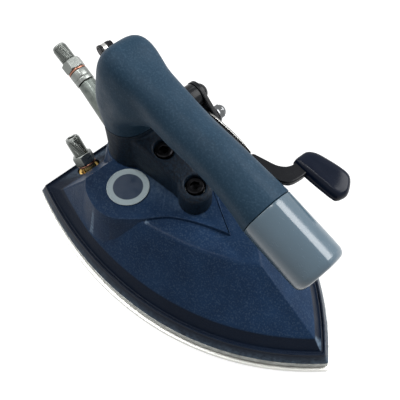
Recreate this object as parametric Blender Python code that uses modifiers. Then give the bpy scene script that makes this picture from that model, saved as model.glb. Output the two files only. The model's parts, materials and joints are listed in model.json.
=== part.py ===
"""Steam iron with a thumb lever, built as separate named pieces.

Metres, +Z up. The origin lies on the sole's bottom face at mid length. +X points to the toe
and +Y to the side of the thumb lever.
"""

import math

import bmesh
import bpy
from mathutils import Matrix, Vector

OBJECT_NAME = "steam_iron"

# Gaps and cutting
SEAT_GAP = 0.0003
OVERRUN = 0.002
WELD = 0.00001
SHARP_ANGLE = math.radians(32)

# Facets of round shapes
ROUND_SIDES = 16
HOLE_SIDES = 8
SIDE_STEPS = 12
GRIP_SIDES = 24

# Sole plate, gasket and steam holes
SOLE_LENGTH = 0.207
SOLE_HALF_WIDTH = 0.0648
SOLE_THICKNESS = 0.004
SOLE_EDGE = 0.0005
SOLE_SIDE_SHARES = ((0.0, 0.867), (0.107, 0.952), (0.650, 1.392), (1.0, 0.0))
STEAM_HOLE_RADIUS = 0.0015
OUTER_HOLES_INSET = 0.023
INNER_HOLES_INSET = 0.038
OUTER_HOLE_SHARES = (0.10, 0.22, 0.34, 0.46, 0.58, 0.70, 0.82)
INNER_HOLE_SHARES = (0.12, 0.28, 0.44, 0.60, 0.76)
GASKET_THICKNESS = 0.0006
GASKET_INSET = 0.002
GASKET_WIDTH = 0.015

# Screws that hold the sole plate to the body
SOLE_SCREW_RADIUS = 0.002
SOLE_SCREW_HEAD_RADIUS = 0.0035
SOLE_SCREW_HEAD_HEIGHT = 0.0035
SOLE_SCREW_INSET = 0.014
SOLE_SCREW_SHARES = (0.10, 0.36, 0.62, 0.86)
SOLE_THREAD_FLOOR = 0.001

# Steam body
BODY_INSET = 0.0015
BODY_THICKNESS = 0.0052
CHAMBER_INSET = 0.019
CHAMBER_HEEL_INSET = 0.008
CHAMBER_DEPTH = 0.0032
RIB_THICKNESS = 0.003
RIB_PLACE_SHARES = (0.28, 0.46, 0.64)
RIB_REACH_SHARE = 0.85
RIB_STOP_SHARE = 0.3
BOSS_HEIGHT = 0.0038
POST_RADIUS = 0.007
PAD_INSET = 0.0195
PAD_HEEL_INSET = 0.030
PAD_THICKNESS = 0.003

# Cover shell
COVER_WALL = 0.0025
RIM_FOOT_INSET = 0.0019
RIM_HEIGHT = 0.0062
RIM_TOP_INSET = 0.0048
LEDGE_INSET = 0.0071
BAND_INSET = 0.012
BAND_HEEL_INSET = 0.017
BAND_HEIGHT = 0.008
BAND_HEEL_HEIGHT = 0.0044
BAND_BLEND = 0.040
DECK_HEIGHT = 0.038
DECK_HEEL_INSET = 0.039
DECK_WIDTH_SHARE = 0.586
DECK_LENGTH = 0.1088
DECK_SIDE_SHARES = ((0.0, 1.0), (0.285, 1.0), (0.735, 0.632), (1.0, 0.0))
TONGUE_STEP = 0.0018
TONGUE_DRAFT = math.radians(15)
TONGUE_SKIRT = 0.0325
TONGUE_HEEL_INSET = 0.0396
TONGUE_LENGTH = 0.0834
TONGUE_WIDTH_SHARE = 0.651
TONGUE_CORNER_SHARES = ((0.0, 0.898), (0.078, 1.0))
TONGUE_NOSE_SHARES = ((0.442, 0.893), (0.496, 0.569), (0.724, 0.213), (1.0, 0.0))
CHEEK_RADIUS_SHARE = 0.333
CHEEK_HEEL_DISTANCE = 0.060
CHEEK_SIDE_SHARE = 0.367
NECK_SEAT_RADIUS = 0.018

# Badge
BADGE_RADIUS = 0.0125
BADGE_THICKNESS = 0.0005
BADGE_HEEL_DISTANCE = 0.0613
BADGE_SIDE = 0.023

# Handle bracket
NECK_HEEL_DISTANCE = 0.0405
NECK_RADIUS = 0.0165
FOOT_HEIGHT = 0.0305
FOOT_TIP_HEIGHT = 0.0162
FOOT_EDGE = 0.0015
FOOT_HALF_WIDTH = 0.0139
FOOT_BOSS_RADIUS = 0.0097
FOOT_SIDE_SHARES = ((0.205, 0.84), (0.36, 0.71), (0.52, 0.62), (0.66, 0.55), (0.78, 0.49))
FOOT_BOSS_START = math.radians(135)
BOLT_HEEL_DISTANCES = (0.0682, 0.094)

# Handle bolts
BOLT_RADIUS = 0.003
BOLT_HEAD_RADIUS = 0.005
BOLT_HEAD_HEIGHT = 0.005
BOLT_LENGTH = 0.035
BOLT_SOCKET_RADIUS = 0.0028
BOLT_SOCKET_DEPTH = 0.003
BOLT_WASHER_RADIUS = 0.0056
BOLT_WASHER_THICKNESS = 0.001
RECESS_DEPTH = 0.0068

# Grip, its steel core and its end cap
GRIP_REACH = 0.1388
GRIP_RISE = 0.0822
GRIP_HALF_WIDTH = 0.0176
ROUND_SHARE = 1.0
# Outer x, outer z, inner x, inner z, half width and how round the section is, from the neck's
# seam to the cap's joint
GRIP_SHARES = (
    (-0.117, 0.258, 0.119, 0.367, 0.90, 0.87),
    (-0.117, 0.404, 0.126, 0.459, 0.93, 0.80),
    (-0.104, 0.562, 0.148, 0.532, 0.98, 0.73),
    (-0.076, 0.745, 0.173, 0.574, 0.97, 0.68),
    (-0.036, 0.935, 0.195, 0.601, 0.93, 0.63),
    (-0.008, 0.992, 0.205, 0.610, 0.875, 0.60),
    (0.029, 1.020, 0.216, 0.617, 0.81, 0.58),
    (0.080, 1.005, 0.230, 0.622, 0.744, 0.63),
    (0.137, 0.974, 0.245, 0.623, 0.69, 0.70),
    (0.249, 0.937, 0.281, 0.614, 0.67, 0.80),
    (0.342, 0.900, 0.331, 0.596, 0.67, 0.85),
    (0.429, 0.882, 0.411, 0.585, 0.65, 0.87),
    (0.515, 0.869, 0.494, 0.579, 0.65, 0.87),
    (0.616, 0.842, 0.584, 0.555, 0.68, 0.87),
    (0.702, 0.810, 0.666, 0.513, 0.73, 0.87),
    (0.764, 0.788, 0.720, 0.467, 0.784, 0.87),
)
CAP_LENGTH = 0.0368
# Distance along the cap and how much of the section is left there
CAP_SHARES = ((0.0, 1.0), (0.45, 0.998), (0.85, 0.99), (0.93, 0.965), (0.975, 0.90), (0.995, 0.80),
              (1.0, 0.66))
CORE_RADIUS = 0.005
CORE_SHARES = ((0.0, 0.04), (0.0, 0.50), (0.03, 0.58), (0.14, 0.70), (0.20, 0.714), (0.357, 0.714))
CORE_LEAD = 0.010
CORE_STUB = 0.015
CORE_NUT_RADIUS = 0.0085
CORE_NUT_HEIGHT = 0.008
NUT_POCKET_RADIUS = 0.0092
NUT_POCKET_DEPTH = 0.018

# Lever pivot
PIVOT_SHARES = (0.245, 0.714)
PIVOT_PIN_RADIUS = 0.0025
PIVOT_HEAD_RADIUS = 0.0045
PIVOT_HEAD_HEIGHT = 0.0035
BUSH_RADIUS = 0.0042
BUSH_FLANGE_RADIUS = 0.0065
BUSH_SEAT_SIDE = 0.0104
PIVOT_PIN_REACH = 0.003

# Lever: an arm to the valve, a blade to the thumb neck, a strip between them
ARM_SIDE = 0.0184
ARM_THICKNESS = 0.0025
ARM_END_RADIUS = 0.0032
ARM_BOSS_RADIUS = 0.0068
# Distance behind the pivot as a share of the way to the cross pin, drop as a share of the lever's
ARM_TOP_SHARES = ((0.155, 0.55), (0.24, 0.60), (0.448, 0.32), (0.69, 0.05))
ARM_FOOT_SHARES = ((0.69, 0.78), (0.448, 1.06), (0.207, 1.33), (0.035, 1.10))
ARM_CRANK_LEAD = 0.0104
ARM_CRANK_RUN = 0.0033
ARM_CRANK_HEIGHT = 0.024
LEVER_REACH = 0.0875
LEVER_DROP = 0.0109
JOINT_SCREW_SHARES = (0.131, 0.688)
JOINT_BOSS_RADIUS = 0.0052
STRIP_THICKNESS = 0.0009
BLADE_THICKNESS = 0.0019
BLADE_TOP_SHARES = ((0.20, 0.25), (0.326, 0.29), (0.429, 0.42), (0.509, 0.58), (0.66, 0.60))
BLADE_FOOT_SHARES = ((0.66, 0.86), (0.429, 0.91), (0.291, 1.0), (0.16, 1.16))
STRIP_TOP_SHARES = ((0.20, 0.22), (0.326, 0.26), (0.429, 0.39), (0.470, 0.50))
STRIP_FOOT_SHARES = ((0.470, 0.88), (0.429, 0.88), (0.291, 0.97), (0.16, 1.12))
NECK_TOP_DROP = 0.0062
NECK_THICKNESS = 0.0035
# Distance ahead of the pivot as a share of the lever's reach, side as a share of the pad's side
NECK_NEAR_SHARES = ((0.43, 0.446), (0.611, 0.446), (0.69, 0.469), (0.737, 0.529), (0.760, 0.612),
                    (0.771, 0.770), (0.775, 0.89), (0.83, 0.98), (0.85, 1.07), (0.80, 1.13))
NECK_FAR_SHARES = ((0.715, 1.09), (0.689, 0.99), (0.684, 0.853), (0.669, 0.743), (0.640, 0.672),
                   (0.609, 0.633), (0.52, 0.571), (0.485, 0.543), (0.478, 0.50), (0.43, 0.50))
PAD_SIDE = 0.0336
PAD_OUTLINE_SHARES = ((0.665, 0.91), (0.664, 1.00), (0.673, 1.14), (0.719, 1.23), (0.797, 1.275),
                      (0.874, 1.30), (0.930, 1.29), (0.966, 1.22), (1.0, 1.07), (1.002, 0.97),
                      (0.985, 0.87), (0.950, 0.845), (0.90, 0.84), (0.82, 0.838), (0.735, 0.845),
                      (0.678, 0.865))
THUMB_PAD_THICKNESS = 0.007
THUMB_PAD_FLOOR = 0.0012
THUMB_PAD_EDGE = 0.0016
JOINT_SCREW_RADIUS = 0.0022
JOINT_WASHER_RADIUS = 0.0048
JOINT_WASHER_THICKNESS = 0.001
ACORN_RADIUS = 0.0042
ACORN_HEX_HEIGHT = 0.0024
JOINT_HEAD_RADIUS = 0.0038
JOINT_HEAD_HEIGHT = 0.0012

# Valve column, over its own boss at the heel
VALVE_HEEL_DISTANCE = 0.0165
VALVE_SIDE = 0.0045
VALVE_BOSS_RADIUS = 0.009
VALVE_OPENING_RADIUS = 0.0105
VALVE_SPIGOT_RADIUS = 0.0055
VALVE_SPIGOT_DEPTH = 0.0032
VALVE_GASKET_THICKNESS = 0.0006
VALVE_FOOT_HEIGHT = 0.0036
VALVE_COLUMN_RADIUS = 0.007
VALVE_HEIGHT = 0.0346
VALVE_PORT_RADIUS = 0.003
CHAMBER_BORE_RADIUS = 0.0045
VALVE_SEAT_HEIGHT = 0.0126
VALVE_SEAT_THICKNESS = 0.002
VALVE_SEAT_BORE = 0.0026
VALVE_DISC_THICKNESS = 0.0024
STEM_RADIUS = 0.0025
EYE_RADIUS = 0.0032
EYE_THICKNESS = 0.0024
EYE_CLEARANCE = 0.0004
EYE_FLAT_REACH = 0.005
CROSSPIN_RADIUS = 0.0018
CROSSPIN_DROP = 0.0015
CROSSPIN_HEAD_RADIUS = 0.0028
CROSSPIN_HEAD_HEIGHT = 0.0008
COLLAR_RADIUS = 0.0034
COLLAR_WIDTH = 0.0016
BONNET_RADIUS = 0.0072
BONNET_HEIGHT = 0.0045
BONNET_NECK_RADIUS = 0.0055
BONNET_NECK_HEIGHT = 0.0055
BONNET_SPIGOT = 0.0035
PACKING_RADIUS = 0.0042
PACKING_DEPTH = 0.005
PACKING_HEIGHT = 0.0027
GLAND_RADIUS = 0.0058
GLAND_HEIGHT = 0.0055
SPRING_WIRE_RADIUS = 0.00045
SPRING_RADIUS = 0.0034
SPRING_TURNS = 5
SPRING_TURN_POINTS = 10

# Inlet branch of the valve and the hose nipples
BRANCH_HEIGHT = 0.0258
BRANCH_RISE = math.radians(24)
BRANCH_LENGTH = 0.0358
BRANCH_ROOT_RADIUS = 0.0083
BRANCH_TIP_RADIUS = 0.0058
BRANCH_BORE_RADIUS = 0.0027
GUSSET_THICKNESS = 0.008
GUSSET_FOOT_HEIGHT = 0.0066
GUSSET_REACH = 0.0225
GUSSET_TOP_HEIGHT = 0.0310
UNION_RADIUS = 0.0063
UNION_LENGTH = 0.008
UNION_SPIGOT_RADIUS = 0.004
SPIGOT_LENGTH = 0.006
COPPER_WASHER_THICKNESS = 0.0012
COPPER_WASHER_RADIUS = 0.0062
HEX_ACROSS_FLATS = 0.012
HEX_LENGTH = 0.007
THREAD_RADIUS = 0.00486
THREAD_DEPTH = 0.00058
THREAD_PITCH = 0.000907
THREAD_TURNS = 12
THREAD_RUNOUT = 0.0008
NIPPLE_SPIGOT_RADIUS = 0.0036
NIPPLE_BORE_RADIUS = 0.0026

# Outlet elbow
OUTLET_HEEL_DISTANCE = 0.0135
OUTLET_SIDE = -0.0231
OUTLET_RISE = math.radians(52)
OUTLET_BASE_LENGTH = 0.015
OUTLET_BASE_WIDTH = 0.009
OUTLET_BASE_HEIGHT = 0.003
OUTLET_SLOT_CLEARANCE = 0.0005
OUTLET_HUB_RADIUS = 0.0045
OUTLET_HUB_LENGTH = 0.0074
OUTLET_HUB_OFFSET = 0.0042
OUTLET_PORT_OFFSET = 0.0012


def ahead(distance):
    """Place along X of a point that lies this far ahead of the heel."""
    return distance - SOLE_LENGTH / 2


# Heights that stack up from the sole
GASKET_FLOOR = SOLE_THICKNESS + SEAT_GAP
BODY_FLOOR = GASKET_FLOOR + GASKET_THICKNESS + SEAT_GAP
BODY_TOP = BODY_FLOOR + BODY_THICKNESS
BOSS_TOP = BODY_TOP + BOSS_HEIGHT
COVER_FLOOR = BODY_TOP + SEAT_GAP
RIM_TOP = COVER_FLOOR + RIM_HEIGHT
DECK_TOP = COVER_FLOOR + DECK_HEIGHT
TONGUE_TOP = DECK_TOP + TONGUE_STEP
POST_TOP = TONGUE_TOP - COVER_WALL - SEAT_GAP
BRACKET_FLOOR = TONGUE_TOP + SEAT_GAP
VALVE_FLOOR = BOSS_TOP + VALVE_GASKET_THICKNESS + SEAT_GAP + SEAT_GAP
VALVE_TOP = VALVE_FLOOR + VALVE_HEIGHT
VALVE_X = ahead(VALVE_HEEL_DISTANCE)
NECK_X = ahead(NECK_HEEL_DISTANCE)
OUTLET_X = ahead(OUTLET_HEEL_DISTANCE)

# Widths of the cover that follow the sole's
DECK_HALF_WIDTH = DECK_WIDTH_SHARE * SOLE_HALF_WIDTH
TONGUE_HALF_WIDTH = TONGUE_WIDTH_SHARE * SOLE_HALF_WIDTH
CHEEK_RADIUS = CHEEK_RADIUS_SHARE * SOLE_HALF_WIDTH
CHEEK_SIDE = CHEEK_SIDE_SHARE * SOLE_HALF_WIDTH


def grip_point(x_share, z_share):
    """Point in the handle's middle plane, as shares of the grip's reach and rise."""
    return Vector((NECK_X + x_share * GRIP_REACH, 0, BRACKET_FLOOR + z_share * GRIP_RISE))


PIVOT = grip_point(*PIVOT_SHARES)
BLADE_SIDE = ARM_SIDE - SEAT_GAP - STRIP_THICKNESS - SEAT_GAP - BLADE_THICKNESS
CROSSPIN_HEIGHT = PIVOT.z - CROSSPIN_DROP
ARM_REAR_SIDE = VALVE_SIDE + EYE_THICKNESS / 2 + SEAT_GAP
UP = Vector((0, 0, 1))
LEFT = Vector((0, 1, 0))
INLET_DIRECTION = Vector((-math.cos(BRANCH_RISE), 0, math.sin(BRANCH_RISE)))
OUTLET_DIRECTION = Vector((-math.cos(OUTLET_RISE), 0, math.sin(OUTLET_RISE)))


def remove_scene_objects():
    """Empty the scene of its objects."""
    for item in list(bpy.data.objects):
        bpy.data.objects.remove(item, do_unlink=True)


def new_group(name):
    """Collection in the scene."""
    group = bpy.data.collections.new(name)
    bpy.context.scene.collection.children.link(group)
    return group


remove_scene_objects()
PARTS = new_group(OBJECT_NAME)
CUTTERS = new_group(OBJECT_NAME + "_cutters")


def place_in(item, group):
    """Put an object in its collection, as a wire guide where it is a cutter."""
    group.objects.link(item)
    if group is CUTTERS:
        item.hide_render = True
        item.display_type = "WIRE"
    return item


def from_bmesh(name, shape, group):
    """Object made of a finished bmesh."""
    mesh = bpy.data.meshes.new(name)
    shape.to_mesh(mesh)
    shape.free()
    return place_in(bpy.data.objects.new(name, mesh), group)


def smooth(item):
    """Finished mesh in place of its modifiers, shaded smooth with the true edges kept sharp."""
    evaluated = item.evaluated_get(bpy.context.evaluated_depsgraph_get())
    mesh = bpy.data.meshes.new_from_object(evaluated)
    mesh.shade_smooth()
    mesh.set_sharp_from_angle(angle=SHARP_ANGLE)
    item.modifiers.clear()
    item.data = mesh


def loft(name, rings, group):
    """Closed solid through rings of as many points each, with flat ends."""
    shape = bmesh.new()
    loops = [[shape.verts.new(point) for point in ring] for ring in rings]
    count = len(loops[0])
    for low, high in zip(loops, loops[1:]):
        for index in range(count):
            following = (index + 1) % count
            shape.faces.new((low[index], low[following], high[following], high[index]))
    shape.faces.new(loops[0])
    shape.faces.new(loops[-1])
    bmesh.ops.triangulate(shape, faces=shape.faces)
    bmesh.ops.recalc_face_normals(shape, faces=shape.faces)
    return from_bmesh(name, shape, group)


def rods(name, lines, radius, group, tip_radius=None, sides=ROUND_SIDES):
    """Cylinders, or cones, between pairs of points, all in one object."""
    shape = bmesh.new()
    for start, end in lines:
        line = Vector(end) - Vector(start)
        middle = (Vector(end) + Vector(start)) / 2
        turn = line.to_track_quat("Z", "Y").to_matrix().to_4x4()
        bmesh.ops.create_cone(shape, cap_ends=True, segments=sides, radius1=radius,
                              radius2=radius if tip_radius is None else tip_radius,
                              depth=line.length, matrix=Matrix.Translation(middle) @ turn)
    return from_bmesh(name, shape, group)


def box(name, low, high, group):
    """Box between two corners."""
    shape = bmesh.new()
    size = Vector(high) - Vector(low)
    middle = (Vector(high) + Vector(low)) / 2
    bmesh.ops.create_cube(shape, size=1, matrix=Matrix.Translation(middle) @ Matrix.Diagonal((*size, 1)))
    return from_bmesh(name, shape, group)


def turned(name, profile, foot, direction, group, steps=ROUND_SIDES):
    """Turned piece: its profile holds radius and height, down the outer side first."""
    mesh = bpy.data.meshes.new(name)
    points = [(radius, 0, height) for radius, height in profile]
    edges = [(index, index + 1) for index in range(len(points) - 1)]
    if profile[0][0] > 0:
        edges.append((len(points) - 1, 0))
    mesh.from_pydata(points, edges, [])
    item = place_in(bpy.data.objects.new(name, mesh), group)
    item.location = foot
    item.rotation_euler = direction.to_track_quat("Z", "Y").to_euler()
    screw = item.modifiers.new("turn", "SCREW")
    screw.steps = steps
    screw.render_steps = steps
    screw.use_merge_vertices = True
    screw.merge_threshold = WELD
    return item


def made_mesh(item, group):
    """Mesh object that takes a curve object's place."""
    bpy.context.view_layer.update()
    evaluated = item.evaluated_get(bpy.context.evaluated_depsgraph_get())
    mesh = bpy.data.meshes.new_from_object(evaluated)
    shape = bmesh.new()
    shape.from_mesh(mesh)
    bmesh.ops.remove_doubles(shape, verts=shape.verts, dist=WELD)
    bmesh.ops.recalc_face_normals(shape, faces=shape.faces)
    shape.to_mesh(mesh)
    shape.free()
    name = item.name
    matrix = item.matrix_world.copy()
    bpy.data.objects.remove(item, do_unlink=True)
    result = place_in(bpy.data.objects.new(name, mesh), group)
    result.matrix_world = matrix
    return result


def plate(name, outlines, thickness, middle, group, upright=False):
    """Flat piece from an outline and its holes, lying flat or standing in the XZ plane."""
    curve = bpy.data.curves.new(name, "CURVE")
    curve.dimensions = "2D"
    curve.fill_mode = "BOTH"
    curve.extrude = thickness / 2
    for outline in outlines:
        spline = curve.splines.new("POLY")
        spline.points.add(len(outline) - 1)
        for point, (across, along) in zip(spline.points, outline):
            point.co = (across, along, 0, 1)
        spline.use_cyclic_u = True
    item = place_in(bpy.data.objects.new(name, curve), group)
    item.location = (0, middle, 0) if upright else (0, 0, middle)
    if upright:
        item.rotation_euler = (math.pi / 2, 0, 0)
    return made_mesh(item, group)


def tube(name, points, radius, group, resolution=2):
    """Round bar along a line of points."""
    curve = bpy.data.curves.new(name, "CURVE")
    curve.dimensions = "3D"
    curve.bevel_depth = radius
    curve.bevel_resolution = resolution
    curve.use_fill_caps = True
    spline = curve.splines.new("POLY")
    spline.points.add(len(points) - 1)
    for point, place in zip(spline.points, points):
        point.co = (*place, 1)
    return place_in(bpy.data.objects.new(name, curve), group)


def cut(target, *cutters):
    """Take the cutters out of the target."""
    for cutter in cutters:
        combine(target, cutter, "DIFFERENCE")


def join(target, *additions):
    """Add solids to the target."""
    for addition in additions:
        combine(target, addition, "UNION")


def combine(target, other, operation):
    """Boolean modifier with Blender's exact solver."""
    modifier = target.modifiers.new(other.name, "BOOLEAN")
    modifier.operation = operation
    modifier.solver = "EXACT"
    modifier.object = other


def paint(item, colour, roughness, metallic=0.0):
    """Material of the piece, from an sRGB colour of 0 to 255."""
    material = bpy.data.materials.new(item.name)
    material.use_nodes = True
    shader = material.node_tree.nodes["Principled BSDF"]
    linear = [(channel / 255) ** 2.2 for channel in colour]
    shader.inputs["Base Color"].default_value = (*linear, 1)
    shader.inputs["Roughness"].default_value = roughness
    shader.inputs["Metallic"].default_value = metallic
    item.data.materials.clear()
    item.data.materials.append(material)


def hang(empty, *items):
    """Parent pieces, made about their joint's axis, to the empty that stands on it."""
    for item in items:
        item.parent = empty


def axis_empty(name, place):
    """Empty on a joint's axis."""
    empty = bpy.data.objects.new(name, None)
    empty.location = place
    PARTS.objects.link(empty)
    return empty


def bezier(controls, share):
    """Point and direction of a cubic curve in the plane."""
    first, second, third, last = (Vector(control) for control in controls)
    rest = 1 - share
    point = (first * rest ** 3 + second * 3 * rest ** 2 * share
             + third * 3 * rest * share ** 2 + last * share ** 3)
    heading = ((second - first) * rest ** 2 + (third - second) * 2 * rest * share
               + (last - third) * share ** 2)
    return point, heading.normalized()


def sole_side(share, inset):
    """Point of the sole's left edge, moved in by the inset."""
    controls = [(x_share * SOLE_LENGTH, y_share * SOLE_HALF_WIDTH) for x_share, y_share in SOLE_SIDE_SHARES]
    point, heading = bezier(controls, share)
    return point + Vector((heading.y, -heading.x)) * inset


def found(function, low, high):
    """Share at which a rising function crosses zero."""
    for _ in range(40):
        middle = (low + high) / 2
        if function(middle) < 0:
            low = middle
        else:
            high = middle
    return (low + high) / 2


def sole_half(inset, heel_inset):
    """Left half of the sole's outline moved in, from the heel corner to the toe."""
    start = found(lambda share: sole_side(share, inset).x - heel_inset, 0, 1 / 2)
    stop = found(lambda share: -sole_side(share, inset).y, 1 / 2, 1)
    points = [sole_side(start + (stop - start) * index / SIDE_STEPS, inset) for index in range(SIDE_STEPS)]
    points.append(Vector((sole_side(stop, inset).x, 0)))
    return points


def mirrored(half, heel):
    """Closed outline from a left half that starts at the heel and ends on the middle line."""
    right = [Vector((point.x, -point.y)) for point in reversed(half[:-1])]
    return [Vector((heel, 0))] + list(half) + right


def sole_outline(inset, heel_inset=None):
    """Closed outline of the sole moved in, in the part's own frame."""
    heel = inset if heel_inset is None else heel_inset
    return [Vector((ahead(point.x), point.y)) for point in mirrored(sole_half(inset, heel), heel)]


def level(outline, height):
    """Outline at one height."""
    return [Vector((point.x, point.y, height)) for point in outline]


def circle(centre, radius, sides=ROUND_SIDES):
    """Round outline."""
    turns = [2 * math.pi * index / sides for index in range(sides)]
    return [(centre[0] + radius * math.cos(turn), centre[1] + radius * math.sin(turn)) for turn in turns]


def arc(centre, radius, start, stop, steps):
    """Points of an arc, both ends included."""
    turns = [start + (stop - start) * index / steps for index in range(steps + 1)]
    return [(centre[0] + radius * math.cos(turn), centre[1] + radius * math.sin(turn)) for turn in turns]


def both_sides(inset, shares):
    """Points on a line moved in from the sole's edge, on the left and on the right."""
    half = [sole_side(share, inset) for share in shares]
    left = [(ahead(point.x), point.y) for point in half]
    right = [(x, -y) for x, y in left]
    return left + right


def upright_lines(places, bottom, top):
    """Pairs of points for upright rods."""
    return [((x, y, bottom), (x, y, top)) for x, y in places]


SOLE_SCREW_PLACES = both_sides(SOLE_SCREW_INSET, SOLE_SCREW_SHARES)
BOLT_PLACES = [(ahead(distance), 0) for distance in BOLT_HEEL_DISTANCES]


def make_sole_plate():
    """Pressing plate with two rows of steam holes."""
    rings = [
        level(sole_outline(SOLE_EDGE), 0),
        level(sole_outline(0), SOLE_EDGE),
        level(sole_outline(0), SOLE_THICKNESS - SOLE_EDGE),
        level(sole_outline(SOLE_EDGE), SOLE_THICKNESS),
    ]
    sole = loft("sole_plate", rings, PARTS)
    places = both_sides(OUTER_HOLES_INSET, OUTER_HOLE_SHARES)
    places += both_sides(INNER_HOLES_INSET, INNER_HOLE_SHARES)
    holes = rods("steam_holes", upright_lines(places, -OVERRUN, SOLE_THICKNESS + OVERRUN),
                 STEAM_HOLE_RADIUS, CUTTERS, sides=HOLE_SIDES)
    thread_lines = upright_lines(SOLE_SCREW_PLACES, SOLE_THREAD_FLOOR, SOLE_THICKNESS + OVERRUN)
    threads = rods("sole_threads", thread_lines, SOLE_SCREW_RADIUS + SEAT_GAP, CUTTERS, sides=HOLE_SIDES)
    cut(sole, holes, threads)
    paint(sole, (196, 196, 190), 0.28, 1.0)


def make_sole_gasket():
    """Thin gasket under the body's flange."""
    outlines = [sole_outline(GASKET_INSET), sole_outline(GASKET_INSET + GASKET_WIDTH)]
    outlines += [circle(place, SOLE_SCREW_RADIUS + SEAT_GAP, HOLE_SIDES) for place in SOLE_SCREW_PLACES]
    gasket = plate("sole_gasket", outlines, GASKET_THICKNESS, GASKET_FLOOR + GASKET_THICKNESS / 2, PARTS)
    paint(gasket, (70, 66, 62), 0.8)


def make_sole_screws():
    """Eight pan head screws, from the body's flange down into the sole."""
    head_floor = BODY_TOP + SEAT_GAP
    shank_end = SOLE_THREAD_FLOOR + SEAT_GAP - head_floor
    for index, place in enumerate(SOLE_SCREW_PLACES):
        screw = turned(f"sole_screw_{index + 1}",
                       [(0, SOLE_SCREW_HEAD_HEIGHT), (SOLE_SCREW_HEAD_RADIUS, SOLE_SCREW_HEAD_HEIGHT),
                        (SOLE_SCREW_HEAD_RADIUS, 0), (SOLE_SCREW_RADIUS, 0), (SOLE_SCREW_RADIUS, shank_end),
                        (0, shank_end)], (*place, head_floor), UP, PARTS, GRIP_SIDES // 2)
        paint(screw, (150, 150, 148), 0.4, 1.0)


def outlet_outline(clearance, sides=6):
    """Oblong of the outlet's base, its long side across the iron."""
    radius = OUTLET_BASE_WIDTH / 2 + clearance
    offset = (OUTLET_BASE_LENGTH - OUTLET_BASE_WIDTH) / 2
    left = arc((OUTLET_X, OUTLET_SIDE + offset), radius, 0, math.pi, sides)
    right = arc((OUTLET_X, OUTLET_SIDE - offset), radius, math.pi, 2 * math.pi, sides)
    return left + right


def make_steam_body():
    """Cast body with the steam chamber below and the bosses and posts above."""
    body = loft("steam_body", [level(sole_outline(BODY_INSET), BODY_FLOOR),
                               level(sole_outline(BODY_INSET), BODY_TOP)], PARTS)
    boss_foot = BODY_TOP - CHAMBER_DEPTH / 2
    valve_boss = rods("valve_boss", upright_lines([(VALVE_X, VALVE_SIDE)], boss_foot, BOSS_TOP),
                      VALVE_BOSS_RADIUS, CUTTERS)
    boss_height = BOSS_TOP - boss_foot
    outlet_boss = plate("outlet_boss", [outlet_outline(0)], boss_height, boss_foot + boss_height / 2, CUTTERS)
    posts = rods("body_posts", upright_lines(BOLT_PLACES, boss_foot, POST_TOP), POST_RADIUS, CUTTERS)
    join(body, valve_boss, outlet_boss, posts)
    chamber_outline = sole_outline(CHAMBER_INSET, CHAMBER_HEEL_INSET)
    chamber = loft("steam_chamber", [level(chamber_outline, BODY_FLOOR - OVERRUN),
                                     level(chamber_outline, BODY_FLOOR + CHAMBER_DEPTH)], CUTTERS)
    for index, share in enumerate(RIB_PLACE_SHARES):
        chamber_side = 1 if index % 2 else -1
        ends = sorted((chamber_side * SOLE_HALF_WIDTH * RIB_REACH_SHARE,
                       -chamber_side * SOLE_HALF_WIDTH * RIB_STOP_SHARE))
        middle = ahead(share * SOLE_LENGTH)
        rib = box(f"chamber_rib_{index}", (middle - RIB_THICKNESS / 2, ends[0], BODY_FLOOR),
                  (middle + RIB_THICKNESS / 2, ends[1], BODY_FLOOR + CHAMBER_DEPTH + OVERRUN), CUTTERS)
        cut(chamber, rib)
    cut(body, chamber)
    port_floor = BODY_FLOOR + CHAMBER_DEPTH / 2
    valve_port = rods("valve_port", upright_lines([(VALVE_X, VALVE_SIDE)], port_floor, BOSS_TOP + OVERRUN),
                      VALVE_PORT_RADIUS, CUTTERS, sides=HOLE_SIDES)
    valve_socket = rods("valve_socket", upright_lines([(VALVE_X, VALVE_SIDE)],
                                                      BOSS_TOP - VALVE_SPIGOT_DEPTH - SEAT_GAP,
                                                      BOSS_TOP + OVERRUN),
                        VALVE_SPIGOT_RADIUS + SEAT_GAP, CUTTERS)
    outlet_place = (OUTLET_X + OUTLET_PORT_OFFSET, OUTLET_SIDE)
    outlet_port = rods("outlet_port", upright_lines([outlet_place], port_floor, BOSS_TOP + OVERRUN),
                       NIPPLE_BORE_RADIUS, CUTTERS, sides=HOLE_SIDES)
    threads = rods("post_threads", upright_lines(BOLT_PLACES, BODY_TOP + SEAT_GAP, POST_TOP + OVERRUN),
                   BOLT_RADIUS + SEAT_GAP, CUTTERS, sides=HOLE_SIDES)
    clearances = rods("sole_screw_holes", upright_lines(SOLE_SCREW_PLACES, BODY_FLOOR - OVERRUN,
                                                        BODY_TOP + OVERRUN),
                      SOLE_SCREW_RADIUS + SEAT_GAP, CUTTERS, sides=HOLE_SIDES)
    cut(body, valve_port, valve_socket, outlet_port, threads, clearances)
    paint(body, (150, 152, 150), 0.5, 1.0)


def make_insulation_pad():
    """Felt pad on the body, round the two posts."""
    outlines = [sole_outline(PAD_INSET, PAD_HEEL_INSET)]
    outlines += [circle(place, POST_RADIUS + SEAT_GAP) for place in BOLT_PLACES]
    pad = plate("insulation_pad", outlines, PAD_THICKNESS, BODY_TOP + SEAT_GAP + PAD_THICKNESS / 2, PARTS)
    paint(pad, (188, 182, 168), 0.9)


def deck_outline(inset):
    """Leaf shaped edge of the cover's flat deck."""
    controls = [(DECK_HEEL_INSET + x_share * DECK_LENGTH, y_share * DECK_HALF_WIDTH)
                for x_share, y_share in DECK_SIDE_SHARES]

    def side(share):
        point, heading = bezier(controls, share)
        return point + Vector((heading.y, -heading.x)) * inset

    stop = found(lambda share: -side(share).y, 1 / 2, 1) if inset else 1
    half = [side(stop * index / SIDE_STEPS) for index in range(SIDE_STEPS)]
    half[0].x += inset
    half.append(Vector((side(stop).x, 0)))
    return [Vector((ahead(point.x), point.y)) for point in mirrored(half, DECK_HEEL_INSET + inset)]


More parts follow.
